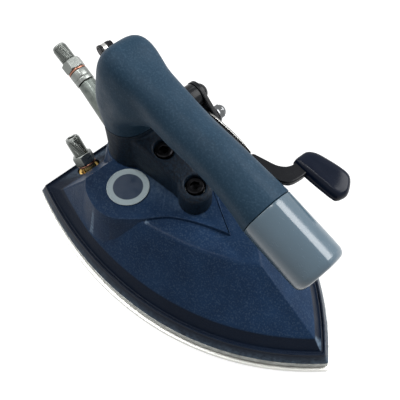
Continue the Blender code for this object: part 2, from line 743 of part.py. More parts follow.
def band_ring(wall):
    """Top edge of the band round the cover, lower at the heel than at the sides."""
    ring = []
    for point in sole_outline(BAND_INSET + wall, BAND_HEEL_INSET + wall):
        share = min(1, max(0, (point.x - ahead(BAND_HEEL_INSET)) / BAND_BLEND))
        height = BAND_HEEL_HEIGHT + (BAND_HEIGHT - BAND_HEEL_HEIGHT) * share
        ring.append(Vector((point.x, point.y, RIM_TOP + height - wall)))
    return ring


def cover_tray(name, wall, group):
    """Cover without its tongue: rim, ledge, band, ramp and deck."""
    floor = COVER_FLOOR - OVERRUN if wall else COVER_FLOOR
    rings = [
        level(sole_outline(RIM_FOOT_INSET + wall), floor),
        level(sole_outline(RIM_TOP_INSET + wall), RIM_TOP - wall),
        level(sole_outline(LEDGE_INSET + wall), RIM_TOP + SEAT_GAP - wall),
        band_ring(wall),
        level(deck_outline(wall), DECK_TOP - wall),
    ]
    return loft(name, rings, group)


def moved_out(outline, distance):
    """Closed outline with each side moved out by a distance."""
    result = []
    count = len(outline)
    area = sum(outline[index - 1].cross(outline[index]) for index in range(count))
    distance = -distance if area > 0 else distance
    for index in range(count):
        before = (outline[index] - outline[index - 1]).normalized()
        after = (outline[(index + 1) % count] - outline[index]).normalized()
        normal = Vector((-before.y, before.x)) + Vector((-after.y, after.x))
        normal.normalize()
        spread = normal.dot(Vector((-before.y, before.x)))
        result.append(outline[index] + normal * distance / spread)
    return result


def tongue_outline():
    """Top edge of the tongue that carries the handle and the badge."""
    def place(share):
        return Vector((ahead(TONGUE_HEEL_INSET + share[0] * TONGUE_LENGTH), share[1] * TONGUE_HALF_WIDTH))

    half = [place(share) for share in TONGUE_CORNER_SHARES]
    steps = SIDE_STEPS // 2
    half += [place(bezier(TONGUE_NOSE_SHARES, index / steps)[0]) for index in range(steps)]
    half.append(place(TONGUE_NOSE_SHARES[-1]))
    return mirrored(half, ahead(TONGUE_HEEL_INSET))


def tongue_pieces(name, wall, group):
    """Tongue and its round swellings, drafted outwards on their way down."""
    top = TONGUE_TOP - wall
    foot = TONGUE_TOP - TONGUE_SKIRT - (OVERRUN if wall else 0)
    spread = (TONGUE_TOP - foot) * math.tan(TONGUE_DRAFT)
    outline = tongue_outline()
    rings = [level(moved_out(outline, spread - wall), foot), level(moved_out(outline, -wall), top)]
    pieces = [loft(name, rings, group)]
    cheeks = [(ahead(CHEEK_HEEL_DISTANCE), side) for side in (CHEEK_SIDE, -CHEEK_SIDE)]
    for index, place in enumerate(cheeks):
        pieces.append(rods(f"{name}_cheek_{index}", upright_lines([place], foot, top),
                           CHEEK_RADIUS + spread - wall, group, CHEEK_RADIUS - wall, 2 * ROUND_SIDES))
    pieces.append(rods(name + "_seat", upright_lines([(NECK_X, 0)], foot, top),
                       NECK_SEAT_RADIUS + spread - wall, group, NECK_SEAT_RADIUS - wall, 2 * ROUND_SIDES))
    return pieces


def outlet_hub_line(start, stop):
    """Two points on the outlet's axis, measured from the washer's seat."""
    seat = outlet_seat()
    return seat + OUTLET_DIRECTION * start, seat + OUTLET_DIRECTION * stop


def outlet_seat():
    """Upper end of the outlet elbow's hub."""
    root = Vector((OUTLET_X + OUTLET_HUB_OFFSET, OUTLET_SIDE, BOSS_TOP + SEAT_GAP + OUTLET_BASE_HEIGHT / 2))
    return root + OUTLET_DIRECTION * OUTLET_HUB_LENGTH


def make_cover():
    """Moulded cover shell, open below."""
    cover = cover_tray("cover", 0, PARTS)
    join(cover, *tongue_pieces("tongue", 0, CUTTERS))
    hollow = cover_tray("cover_hollow", COVER_WALL, CUTTERS)
    join(hollow, *tongue_pieces("tongue_hollow", COVER_WALL, CUTTERS))
    bolt_lines = upright_lines(BOLT_PLACES, POST_TOP - OVERRUN, TONGUE_TOP + OVERRUN)
    bolt_holes = rods("cover_bolt_holes", bolt_lines, BOLT_RADIUS + SEAT_GAP, CUTTERS)
    valve_opening = rods("valve_opening", upright_lines([(VALVE_X, VALVE_SIDE)], COVER_FLOOR,
                                                        TONGUE_TOP + OVERRUN),
                         VALVE_OPENING_RADIUS, CUTTERS)
    slot = plate("outlet_slot", [outlet_outline(OUTLET_SLOT_CLEARANCE)], DECK_HEIGHT,
                 COVER_FLOOR + DECK_HEIGHT / 2, CUTTERS)
    hub_room = rods("outlet_hub_room", [outlet_hub_line(-OUTLET_HUB_LENGTH, NIPPLE_LENGTH)],
                    COPPER_WASHER_RADIUS + SEAT_GAP, CUTTERS)
    cut(cover, hollow, bolt_holes, valve_opening, slot, hub_room)
    paint(cover, (40, 52, 70), 0.45)


def make_badge():
    """Plain round badge on the tongue."""
    foot = TONGUE_TOP + SEAT_GAP
    line = upright_lines([(ahead(BADGE_HEEL_DISTANCE), -BADGE_SIDE)], foot, foot + BADGE_THICKNESS)
    badge = rods("label_disc", line, BADGE_RADIUS, PARTS, sides=2 * ROUND_SIDES)
    paint(badge, (196, 206, 208), 0.4)


def section_ring(outer, inner, half_width, round_share, shift=None):
    """Ring of a handle section between its outer and inner points, an ellipse at a share of one."""
    centre = (outer + inner) / 2
    arm = (outer - inner) / 2
    ring = []
    for index in range(GRIP_SIDES):
        turn = 2 * math.pi * index / GRIP_SIDES
        up = math.copysign(abs(math.cos(turn)) ** round_share, math.cos(turn))
        side = math.copysign(abs(math.sin(turn)) ** round_share, math.sin(turn))
        ring.append(centre + arm * up + LEFT * half_width * side)
    if shift is not None:
        ring = [point + shift for point in ring]
    return ring


def grip_section(index):
    """Outer point, inner point, half width and round share of one of the grip's sections."""
    outer_x, outer_z, inner_x, inner_z, width, round_share = GRIP_SHARES[index]
    outer = grip_point(outer_x, outer_z)
    inner = grip_point(inner_x, inner_z)
    return outer, inner, width * GRIP_HALF_WIDTH, round_share


def seam_normal():
    """Direction from the bracket into the grip, square to their seam."""
    outer, inner = grip_section(0)[:2]
    return (inner - outer).cross(LEFT).normalized()


def cap_axis():
    """Middle of the cap's joint and the direction out to the cap's end."""
    outer, inner = grip_section(-1)[:2]
    return (outer + inner) / 2, (inner - outer).cross(LEFT).normalized()


def foot_half_outline():
    """Left half of the foot's outline, from inside the neck round its front boss."""
    boss = BOLT_PLACES[1][0]
    reach = boss - NECK_X
    half = [Vector((NECK_X + x_share * reach, y_share * FOOT_HALF_WIDTH))
            for x_share, y_share in FOOT_SIDE_SHARES]
    half += [Vector(point) for point in arc((boss, 0), FOOT_BOSS_RADIUS, FOOT_BOSS_START, 0, 6)]
    return half


def foot_outline():
    """Closed outline of the foot."""
    half = foot_half_outline()
    return mirrored(half, half[0].x)


def foot_ring(inset, drop):
    """Ring of the foot: moved in, and this far below its sloping top."""
    boss = BOLT_PLACES[1][0]
    ring = []
    for point in moved_out(foot_outline(), -inset):
        share = (point.x - NECK_X) / (boss - NECK_X)
        top = BRACKET_FLOOR + FOOT_HEIGHT + (FOOT_TIP_HEIGHT - FOOT_HEIGHT) * share
        ring.append(Vector((point.x, point.y, top - drop)))
    return ring


def foot_top(place):
    """Height of the foot's top over a bolt."""
    share = (place[0] - NECK_X) / (BOLT_PLACES[1][0] - NECK_X)
    return BRACKET_FLOOR + FOOT_HEIGHT + (FOOT_TIP_HEIGHT - FOOT_HEIGHT) * share


def recess_floor(place):
    """Height of a bolt recess's floor."""
    return foot_top(place) - RECESS_DEPTH


def make_handle_bracket():
    """Cast neck and foot that carry the grip."""
    rear = Vector((NECK_X - NECK_RADIUS, 0, BRACKET_FLOOR))
    front = Vector((NECK_X + NECK_RADIUS, 0, BRACKET_FLOOR))
    neck_foot = section_ring(rear, front, NECK_RADIUS, ROUND_SHARE)
    neck_top = section_ring(*grip_section(0), shift=seam_normal() * -SEAT_GAP)
    bracket = loft("handle_bracket", [neck_foot, neck_top], PARTS)
    foot = loft("bracket_foot", [level(foot_outline(), BRACKET_FLOOR), foot_ring(0, FOOT_EDGE),
                                 foot_ring(FOOT_EDGE / 2, 0)], CUTTERS)
    join(bracket, foot)
    core_hole = rods("bracket_core_hole", upright_lines([(NECK_X, 0)], core_points()[0].z - SEAT_GAP,
                                                        grip_section(0)[1].z + OVERRUN),
                     CORE_RADIUS + SEAT_GAP, CUTTERS)
    holes = rods("bracket_bolt_holes", upright_lines(BOLT_PLACES, BRACKET_FLOOR - OVERRUN,
                                                     BRACKET_FLOOR + FOOT_HEIGHT),
                 BOLT_RADIUS + SEAT_GAP, CUTTERS)
    cut(bracket, core_hole, holes)
    for index, place in enumerate(BOLT_PLACES):
        recess = rods(f"bolt_recess_{index}", upright_lines([place], recess_floor(place),
                                                            BRACKET_FLOOR + FOOT_HEIGHT + OVERRUN),
                      BOLT_WASHER_RADIUS + SEAT_GAP, CUTTERS)
        cut(bracket, recess)
    paint(bracket, (38, 52, 62), 0.6)


def make_handle_bolts():
    """Two socket head bolts with washers under their heads."""
    for index, place in enumerate(BOLT_PLACES):
        floor = recess_floor(place) + SEAT_GAP
        seat = floor + BOLT_WASHER_THICKNESS + SEAT_GAP
        bore = BOLT_RADIUS + SEAT_GAP
        washer = turned(f"bolt_washer_{index + 1}",
                        [(BOLT_WASHER_RADIUS, BOLT_WASHER_THICKNESS), (BOLT_WASHER_RADIUS, 0), (bore, 0),
                         (bore, BOLT_WASHER_THICKNESS)], (*place, floor), UP, PARTS)
        bolt = turned(f"handle_bolt_{index + 1}",
                      [(0, BOLT_HEAD_HEIGHT - BOLT_SOCKET_DEPTH),
                       (BOLT_SOCKET_RADIUS, BOLT_HEAD_HEIGHT - BOLT_SOCKET_DEPTH),
                       (BOLT_SOCKET_RADIUS, BOLT_HEAD_HEIGHT), (BOLT_HEAD_RADIUS, BOLT_HEAD_HEIGHT),
                       (BOLT_HEAD_RADIUS, 0), (BOLT_RADIUS, 0), (BOLT_RADIUS, -BOLT_LENGTH),
                       (0, -BOLT_LENGTH)], (*place, seat), UP, PARTS, GRIP_SIDES // 2)
        paint(washer, (120, 122, 120), 0.35, 1.0)
        paint(bolt, (34, 35, 36), 0.4, 0.8)


def core_points():
    """Middle line of the steel core, from the bracket to past the cap's joint."""
    points = [grip_point(*shares) for shares in CORE_SHARES]
    middle, direction = cap_axis()
    return points + [middle - direction * CORE_LEAD, middle + direction * CORE_STUB]


def make_handle():
    """Steel core, grip moulded round it, end nut and end cap."""
    points = core_points()
    core = made_mesh(tube("handle_core", points, CORE_RADIUS, PARTS, 3), PARTS)
    pin_line = (PIVOT - LEFT * (CORE_RADIUS + OVERRUN), PIVOT + LEFT * (GRIP_HALF_WIDTH + OVERRUN))
    pin_hole = rods("core_pin_hole", [pin_line], PIVOT_PIN_RADIUS + SEAT_GAP, CUTTERS)
    cut(core, pin_hole)
    paint(core, (140, 142, 144), 0.4, 1.0)

    count = len(GRIP_SHARES)
    grip = loft("handle_grip", [section_ring(*grip_section(index)) for index in range(count)], PARTS)
    core_room = made_mesh(tube("grip_core_room", points, CORE_RADIUS + SEAT_GAP, CUTTERS, 3), CUTTERS)
    grip_pin_line = (PIVOT, PIVOT + LEFT * (BUSH_SEAT_SIDE + OVERRUN))
    grip_pin_hole = rods("grip_pin_hole", [grip_pin_line], PIVOT_PIN_RADIUS + SEAT_GAP, CUTTERS)
    bush_line = (PIVOT + LEFT * BUSH_SEAT_SIDE, PIVOT + LEFT * (GRIP_HALF_WIDTH + OVERRUN))
    bush_seat = rods("bush_seat", [bush_line], BUSH_FLANGE_RADIUS + SEAT_GAP, CUTTERS)
    join(core_room, grip_pin_hole, bush_seat)
    cut(grip, core_room)
    paint(grip, (52, 71, 86), 0.55)

    middle, direction = cap_axis()
    outer, inner, half_width, round_share = grip_section(count - 1)
    rings = []
    for along, size in CAP_SHARES:
        shift = direction * (SEAT_GAP + along * CAP_LENGTH)
        rings.append(section_ring(middle + (outer - middle) * size, middle + (inner - middle) * size,
                                  half_width * size, round_share, shift=shift))
    cap = loft("grip_end_cap", rings, PARTS)
    pocket = rods("nut_pocket", [(middle - direction * OVERRUN, middle + direction * NUT_POCKET_DEPTH)],
                  NUT_POCKET_RADIUS, CUTTERS)
    cut(cap, pocket)
    paint(cap, (91, 109, 118), 0.22)

    nut_bore = CORE_RADIUS + SEAT_GAP
    nut = turned("core_end_nut", [(CORE_NUT_RADIUS, CORE_NUT_HEIGHT), (CORE_NUT_RADIUS, 0), (nut_bore, 0),
                                  (nut_bore, CORE_NUT_HEIGHT)],
                 middle + direction * SEAT_GAP, direction, PARTS, 6)
    round_bore = rods("nut_bore", [(middle - direction * OVERRUN,
                                    middle + direction * (CORE_NUT_HEIGHT + OVERRUN))], nut_bore, CUTTERS)
    cut(nut, round_bore)
    paint(nut, (150, 150, 148), 0.4, 1.0)


def make_pivot():
    """Shouldered bush seated on the grip and the pin that holds the lever on it."""
    bush_foot = BUSH_SEAT_SIDE + SEAT_GAP
    shoulder = ARM_SIDE - SEAT_GAP
    sleeve_end = ARM_SIDE + ARM_THICKNESS + SEAT_GAP
    bore = PIVOT_PIN_RADIUS + SEAT_GAP
    bush = turned("pivot_bush", [(BUSH_RADIUS, sleeve_end), (BUSH_RADIUS, shoulder),
                                 (BUSH_FLANGE_RADIUS, shoulder), (BUSH_FLANGE_RADIUS, bush_foot),
                                 (bore, bush_foot), (bore, sleeve_end)], PIVOT, LEFT, PARTS)
    paint(bush, (30, 32, 36), 0.4, 0.6)
    head_foot = sleeve_end + SEAT_GAP
    head_top = head_foot + PIVOT_HEAD_HEIGHT
    dome = [(PIVOT_HEAD_RADIUS * math.sin(angle), head_foot + PIVOT_HEAD_HEIGHT * math.cos(angle))
            for angle in (math.pi / 6, math.pi / 3)]
    pin = turned("pivot_pin", [(0, head_top), *dome, (PIVOT_HEAD_RADIUS, head_foot),
                               (PIVOT_PIN_RADIUS, head_foot), (PIVOT_PIN_RADIUS, -PIVOT_PIN_REACH),
                               (0, -PIVOT_PIN_REACH)], PIVOT, LEFT, PARTS)
    paint(pin, (28, 30, 34), 0.35, 0.6)


def lever_point(shares):
    """Place in the lever's XZ plane, measured from its pivot."""
    return shares[0] * LEVER_REACH, -shares[1] * LEVER_DROP


def neck_point(shares):
    """Place of the lever's neck seen from above, measured from its pivot."""
    return shares[0] * LEVER_REACH, shares[1] * PAD_SIDE


def arm_plan():
    """Outline of the arm from above: it steps inwards behind the grip, to the stem's eye."""
    rear = VALVE_X - PIVOT.x - ARM_END_RADIUS - OVERRUN
    front = lever_point(JOINT_SCREW_SHARES)[0] + JOINT_BOSS_RADIUS + OVERRUN
    start = VALVE_X - PIVOT.x + ARM_CRANK_LEAD
    stop = start - ARM_CRANK_RUN
    bend = math.atan2(ARM_SIDE - ARM_REAR_SIDE, ARM_CRANK_RUN)
    setback = ARM_THICKNESS * math.tan(bend / 2)
    inner = [(front, ARM_SIDE), (start, ARM_SIDE), (stop, ARM_REAR_SIDE), (rear, ARM_REAR_SIDE)]
    outer = [(rear, ARM_REAR_SIDE + ARM_THICKNESS), (stop - setback, ARM_REAR_SIDE + ARM_THICKNESS),
             (start - setback, ARM_SIDE + ARM_THICKNESS), (front, ARM_SIDE + ARM_THICKNESS)]
    return inner + outer


def make_lever():
    """Lever that turns on the pivot: arm, strip, blade with its neck, pad and fasteners."""
    axis = axis_empty("lever_axis", PIVOT)
    rear = VALVE_X - PIVOT.x
    joint = lever_point(JOINT_SCREW_SHARES)
    crosspin_place = (rear, -CROSSPIN_DROP)
    arm_outline = arc(crosspin_place, ARM_END_RADIUS, math.pi / 2, 3 * math.pi / 2, 6)
    arm_outline += [(x_share * rear, -z_share * LEVER_DROP) for x_share, z_share in ARM_FOOT_SHARES]
    arm_outline += arc(joint, JOINT_BOSS_RADIUS, 8 * math.pi / 6, 13 * math.pi / 6, 6)
    arm_outline += arc((0, 0), ARM_BOSS_RADIUS, math.pi / 4, 7 * math.pi / 6, 9)
    arm_outline += [(x_share * rear, -z_share * LEVER_DROP) for x_share, z_share in ARM_TOP_SHARES]
    arm_top = ARM_SIDE + ARM_THICKNESS
    arm_depth = arm_top - ARM_REAR_SIDE + 2 * OVERRUN
    arm = plate("lever_arm", [arm_outline, circle(crosspin_place, CROSSPIN_RADIUS + SEAT_GAP),
                              circle((0, 0), BUSH_RADIUS + SEAT_GAP),
                              circle(joint, JOINT_SCREW_RADIUS + SEAT_GAP)],
                arm_depth, (arm_top + ARM_REAR_SIDE) / 2, PARTS, upright=True)
    crank = plate("arm_crank", [arm_plan()], ARM_CRANK_HEIGHT, 0, CUTTERS)
    combine(arm, crank, "INTERSECT")
    paint(arm, (24, 26, 30), 0.4, 0.3)

    strip_side = ARM_SIDE - SEAT_GAP - STRIP_THICKNESS / 2
    joint_back = arc(joint, JOINT_BOSS_RADIUS, 8 * math.pi / 6, 4 * math.pi / 6, 6)
    strip_outline = joint_back + [lever_point(shares) for shares in STRIP_TOP_SHARES + STRIP_FOOT_SHARES]
    screw_hole = circle(joint, JOINT_SCREW_RADIUS + SEAT_GAP)
    strip = plate("lever_strip", [strip_outline, screw_hole], STRIP_THICKNESS, strip_side, PARTS,
                  upright=True)
    paint(strip, (200, 200, 196), 0.18, 1.0)

    blade_outline = joint_back + [lever_point(shares) for shares in BLADE_TOP_SHARES + BLADE_FOOT_SHARES]
    blade = plate("thumb_lever", [blade_outline, screw_hole], BLADE_THICKNESS,
                  BLADE_SIDE + BLADE_THICKNESS / 2, PARTS, upright=True)
    neck_outline = [neck_point(shares) for shares in NECK_NEAR_SHARES + NECK_FAR_SHARES]
    neck_middle = -NECK_TOP_DROP - NECK_THICKNESS / 2
    neck = plate("lever_neck", [neck_outline], NECK_THICKNESS, neck_middle, CUTTERS)
    join(blade, neck)
    paint(blade, (22, 25, 32), 0.35, 0.2)

    pad_floor = -NECK_TOP_DROP - NECK_THICKNESS - SEAT_GAP - THUMB_PAD_FLOOR
    pad_outline = [Vector(neck_point(shares)) for shares in PAD_OUTLINE_SHARES]
    pad_rings = [(THUMB_PAD_EDGE, 0), (0, THUMB_PAD_EDGE), (0, THUMB_PAD_THICKNESS - THUMB_PAD_EDGE),
                 (THUMB_PAD_EDGE / 2, THUMB_PAD_THICKNESS - THUMB_PAD_EDGE / 2),
                 (2 * THUMB_PAD_EDGE, THUMB_PAD_THICKNESS)]
    pad = loft("thumb_pad", [level(moved_out(pad_outline, -inset), pad_floor + height)
                             for inset, height in pad_rings], PARTS)
    socket_outline = moved_out([Vector(point) for point in neck_outline], SEAT_GAP)
    socket = plate("pad_socket", [socket_outline], NECK_THICKNESS + 2 * SEAT_GAP, neck_middle, CUTTERS)
    cut(pad, socket)
    paint(pad, (18, 23, 38), 0.2)

    joint_x, joint_z = joint
    joint_axis = Vector((joint_x, 0, joint_z))
    washer_foot = ARM_SIDE + ARM_THICKNESS + SEAT_GAP
    bore = JOINT_SCREW_RADIUS + SEAT_GAP
    washer = turned("strip_washer", [(JOINT_WASHER_RADIUS, JOINT_WASHER_THICKNESS), (JOINT_WASHER_RADIUS, 0),
                                     (bore, 0), (bore, JOINT_WASHER_THICKNESS)],
                    joint_axis + LEFT * washer_foot, LEFT, PARTS)
    paint(washer, (205, 205, 202), 0.15, 1.0)
    nut_foot = washer_foot + JOINT_WASHER_THICKNESS + SEAT_GAP
    screw_end = ACORN_HEX_HEIGHT - SEAT_GAP
    dome = [(ACORN_RADIUS * math.sin(angle), ACORN_HEX_HEIGHT + ACORN_RADIUS * math.cos(angle) * 2 / 3)
            for angle in (math.pi / 8, math.pi / 4, 3 * math.pi / 8)]
    acorn_top = ACORN_HEX_HEIGHT + ACORN_RADIUS * 2 / 3
    nut = turned("acorn_nut", [(0, acorn_top), *dome, (ACORN_RADIUS, ACORN_HEX_HEIGHT), (ACORN_RADIUS, 0),
                               (bore, 0), (bore, ACORN_HEX_HEIGHT), (0, ACORN_HEX_HEIGHT)],
                 joint_axis + LEFT * nut_foot, LEFT, PARTS, GRIP_SIDES // 2)
    paint(nut, (200, 202, 204), 0.12, 1.0)
    head_face = BLADE_SIDE - SEAT_GAP
    screw = turned("strip_screw", [(0, nut_foot + screw_end), (JOINT_SCREW_RADIUS, nut_foot + screw_end),
                                   (JOINT_SCREW_RADIUS, head_face), (JOINT_HEAD_RADIUS, head_face),
                                   (JOINT_HEAD_RADIUS, head_face - JOINT_HEAD_HEIGHT),
                                   (0, head_face - JOINT_HEAD_HEIGHT)], joint_axis, LEFT, PARTS)
    paint(screw, (150, 150, 150), 0.3, 1.0)

    pin_axis = Vector((rear, 0, -CROSSPIN_DROP))
    collar_side = VALVE_SIDE - EYE_THICKNESS / 2 - SEAT_GAP - COLLAR_WIDTH
    head_foot = ARM_REAR_SIDE + ARM_THICKNESS + SEAT_GAP
    head_top = head_foot + CROSSPIN_HEAD_HEIGHT
    crosspin = turned("lever_crosspin", [(0, head_top), (CROSSPIN_HEAD_RADIUS, head_top),
                                         (CROSSPIN_HEAD_RADIUS, head_foot), (CROSSPIN_RADIUS, head_foot),
                                         (CROSSPIN_RADIUS, collar_side), (0, collar_side)],
                      pin_axis, LEFT, PARTS)
    paint(crosspin, (170, 170, 168), 0.25, 1.0)
    collar_bore = CROSSPIN_RADIUS + SEAT_GAP
    collar = turned("crosspin_collar", [(COLLAR_RADIUS, COLLAR_WIDTH), (COLLAR_RADIUS, 0), (collar_bore, 0),
                                        (collar_bore, COLLAR_WIDTH)],
                    pin_axis + LEFT * collar_side, LEFT, PARTS)
    paint(collar, (26, 27, 30), 0.5)
    hang(axis, arm, crank, strip, blade, neck, pad, socket, washer, nut, screw, crosspin, collar)


def make_valve_body():
    """Valve casting: foot, column and inlet branch, with its gasket and seat ring."""
    centre = (VALVE_X, VALVE_SIDE)
    gasket_floor = BOSS_TOP + SEAT_GAP
    gasket = turned("valve_gasket", [(VALVE_BOSS_RADIUS - SEAT_GAP, VALVE_GASKET_THICKNESS),
                                     (VALVE_BOSS_RADIUS - SEAT_GAP, 0), (VALVE_SPIGOT_RADIUS + SEAT_GAP, 0),
                                     (VALVE_SPIGOT_RADIUS + SEAT_GAP, VALVE_GASKET_THICKNESS)],
                    (*centre, gasket_floor), UP, PARTS)
    paint(gasket, (176, 120, 92), 0.5, 0.6)

    column = turned("valve_body", [(0, VALVE_HEIGHT), (VALVE_COLUMN_RADIUS, VALVE_HEIGHT),
                                   (VALVE_COLUMN_RADIUS, VALVE_FOOT_HEIGHT),
                                   (VALVE_BOSS_RADIUS, VALVE_FOOT_HEIGHT), (VALVE_BOSS_RADIUS, 0),
                                   (VALVE_SPIGOT_RADIUS, 0),
                                   (VALVE_SPIGOT_RADIUS, BOSS_TOP - VALVE_SPIGOT_DEPTH - VALVE_FLOOR),
                                   (0, BOSS_TOP - VALVE_SPIGOT_DEPTH - VALVE_FLOOR)],
                    (*centre, VALVE_FLOOR), UP, PARTS)
    root = Vector((*centre, VALVE_FLOOR + BRANCH_HEIGHT))
    tip = root + INLET_DIRECTION * BRANCH_LENGTH
    branch = rods("inlet_branch", [(root, tip)], BRANCH_ROOT_RADIUS, CUTTERS, BRANCH_TIP_RADIUS)
    gusset = plate("branch_gusset", [[(VALVE_X, VALVE_FLOOR + GUSSET_FOOT_HEIGHT),
                                      (VALVE_X - VALVE_COLUMN_RADIUS, VALVE_FLOOR + GUSSET_FOOT_HEIGHT),
                                      (VALVE_X - GUSSET_REACH, VALVE_FLOOR + GUSSET_TOP_HEIGHT),
                                      (VALVE_X, VALVE_FLOOR + GUSSET_TOP_HEIGHT)]],
                   GUSSET_THICKNESS, VALVE_SIDE, CUTTERS, upright=True)
    bonnet_line = upright_lines([centre], VALVE_TOP - SEAT_GAP, VALVE_TOP + BRANCH_LENGTH)
    bonnet_room = rods("bonnet_room", bonnet_line, BONNET_RADIUS + SEAT_GAP, CUTTERS, sides=2 * ROUND_SIDES)
    cut(branch, bonnet_room)
    join(column, branch, gusset)
    port = rods("body_port", upright_lines([centre], BOSS_TOP - VALVE_SPIGOT_DEPTH - OVERRUN,
                                           VALVE_FLOOR + VALVE_SEAT_HEIGHT + OVERRUN),
                VALVE_PORT_RADIUS, CUTTERS)
    chamber = rods("body_chamber", upright_lines([centre], VALVE_FLOOR + VALVE_SEAT_HEIGHT,
                                                 VALVE_TOP + BRANCH_LENGTH),
                   CHAMBER_BORE_RADIUS, CUTTERS)
    branch_bore = rods("branch_bore", [(root, tip + INLET_DIRECTION * OVERRUN)], BRANCH_BORE_RADIUS, CUTTERS)
    branch_socket = rods("branch_socket", [(tip - INLET_DIRECTION * (SPIGOT_LENGTH + SEAT_GAP),
                                            tip + INLET_DIRECTION * OVERRUN)],
                         UNION_SPIGOT_RADIUS + SEAT_GAP, CUTTERS)
    cut(column, port, chamber, branch_bore, branch_socket)
    paint(column, (150, 155, 150), 0.4, 1.0)

    seat_radius = CHAMBER_BORE_RADIUS - SEAT_GAP
    seat = turned("valve_seat", [(seat_radius, VALVE_SEAT_THICKNESS), (seat_radius, 0), (VALVE_SEAT_BORE, 0),
                                 (VALVE_SEAT_BORE, VALVE_SEAT_THICKNESS)],
                  (*centre, VALVE_FLOOR + VALVE_SEAT_HEIGHT + SEAT_GAP), UP, PARTS)
    paint(seat, (168, 138, 78), 0.35, 1.0)


def valve_disc_floor():
    """Height of the valve disc when it rests on its seat."""
    return VALVE_FLOOR + VALVE_SEAT_HEIGHT + VALVE_SEAT_THICKNESS + 2 * SEAT_GAP


def make_bonnet():
    """Bonnet, packing and gland nut round the stem, and the spring under the bonnet."""
    centre = (VALVE_X, VALVE_SIDE)
    bore = STEM_RADIUS + SEAT_GAP
    spigot_radius = CHAMBER_BORE_RADIUS - SEAT_GAP
    top = BONNET_HEIGHT + BONNET_NECK_HEIGHT
    bonnet = turned("valve_bonnet", [(BONNET_NECK_RADIUS, top), (BONNET_NECK_RADIUS, BONNET_HEIGHT),
                                     (BONNET_RADIUS, BONNET_HEIGHT), (BONNET_RADIUS, 0), (spigot_radius, 0),
                                     (spigot_radius, -BONNET_SPIGOT), (bore, -BONNET_SPIGOT),
                                     (bore, top - PACKING_DEPTH), (PACKING_RADIUS, top - PACKING_DEPTH),
                                     (PACKING_RADIUS, top)],
                    (*centre, VALVE_TOP + SEAT_GAP), UP, PARTS)
    paint(bonnet, (168, 150, 96), 0.35, 1.0)
    packing_floor = VALVE_TOP + SEAT_GAP + top - PACKING_DEPTH + SEAT_GAP
    packing_radius = PACKING_RADIUS - SEAT_GAP
    packing = turned("gland_packing", [(packing_radius, PACKING_HEIGHT), (packing_radius, 0), (bore, 0),
                                       (bore, PACKING_HEIGHT)], (*centre, packing_floor), UP, PARTS)
    paint(packing, (210, 205, 190), 0.8)
    nut_floor = VALVE_TOP + SEAT_GAP + top + SEAT_GAP
    spigot = nut_floor - packing_floor - PACKING_HEIGHT - SEAT_GAP
    gland = turned("gland_nut", [(GLAND_RADIUS, GLAND_HEIGHT), (GLAND_RADIUS, 0), (packing_radius, 0),
                                 (packing_radius, -spigot), (bore, -spigot), (bore, GLAND_HEIGHT)],
                   (*centre, nut_floor), UP, PARTS)
    paint(gland, (168, 150, 96), 0.35, 1.0)

    disc_top = valve_disc_floor() + VALVE_DISC_THICKNESS
    bottom = disc_top + SPRING_WIRE_RADIUS + SEAT_GAP
    height = VALVE_TOP + SEAT_GAP - BONNET_SPIGOT - SEAT_GAP - SPRING_WIRE_RADIUS - bottom
    count = SPRING_TURNS * SPRING_TURN_POINTS
    points = []
    for index in range(count + 1):
        turn = 2 * math.pi * index / SPRING_TURN_POINTS
        points.append((VALVE_X + SPRING_RADIUS * math.cos(turn), VALVE_SIDE + SPRING_RADIUS * math.sin(turn),
                       bottom + height * index / count))
    spring = tube("valve_spring", points, SPRING_WIRE_RADIUS, PARTS, 1)
    paint(spring, (150, 152, 154), 0.3, 1.0)


def make_stem():
    """Stem with its eye on the lever's cross pin, and the disc that shuts the seat."""
    axis = axis_empty("stem_axis", (VALVE_X, VALVE_SIDE, 0))
    disc_floor = valve_disc_floor()
    disc_radius = CHAMBER_BORE_RADIUS - 2 * SEAT_GAP
    disc_top = disc_floor + VALVE_DISC_THICKNESS
    tip_radius = STEM_RADIUS - 2 * SEAT_GAP
    socket_floor = disc_floor + VALVE_DISC_THICKNESS / 3
    disc = turned("valve_disc", [(0, socket_floor), (tip_radius + SEAT_GAP, socket_floor),
                                 (tip_radius + SEAT_GAP, disc_top), (disc_radius, disc_top),
                                 (disc_radius, disc_floor), (0, disc_floor)], (0, 0, 0), UP, PARTS)
    paint(disc, (60, 58, 56), 0.5)
    stem = turned("valve_stem", [(0, CROSSPIN_HEIGHT - EYE_RADIUS / 2),
                                 (STEM_RADIUS, CROSSPIN_HEIGHT - EYE_RADIUS / 2),
                                 (STEM_RADIUS, disc_top + SEAT_GAP), (tip_radius, disc_top + SEAT_GAP),
                                 (tip_radius, socket_floor + SEAT_GAP), (0, socket_floor + SEAT_GAP)],
                  (0, 0, 0), UP, PARTS, GRIP_SIDES // 2)
    eye_middle = Vector((0, 0, CROSSPIN_HEIGHT))
    eye = rods("stem_eye", [(eye_middle - LEFT * EYE_THICKNESS / 2, eye_middle + LEFT * EYE_THICKNESS / 2)],
               EYE_RADIUS, CUTTERS)
    trim = [box(f"stem_flat_{index}", (-EYE_FLAT_REACH, near, CROSSPIN_HEIGHT - EYE_FLAT_REACH),
                (EYE_FLAT_REACH, near + EYE_THICKNESS, CROSSPIN_HEIGHT + EYE_FLAT_REACH), CUTTERS)
            for index, near in enumerate((EYE_THICKNESS / 2, -3 * EYE_THICKNESS / 2))]
    hole_reach = EYE_THICKNESS / 2 + OVERRUN
    hole = rods("stem_eye_hole", [(eye_middle - LEFT * hole_reach, eye_middle + LEFT * hole_reach)],
                CROSSPIN_RADIUS + EYE_CLEARANCE, CUTTERS)
    join(stem, eye)
    cut(stem, *trim, hole)
    paint(stem, (170, 172, 172), 0.25, 1.0)
    hang(axis, disc, stem, eye, hole, *trim)


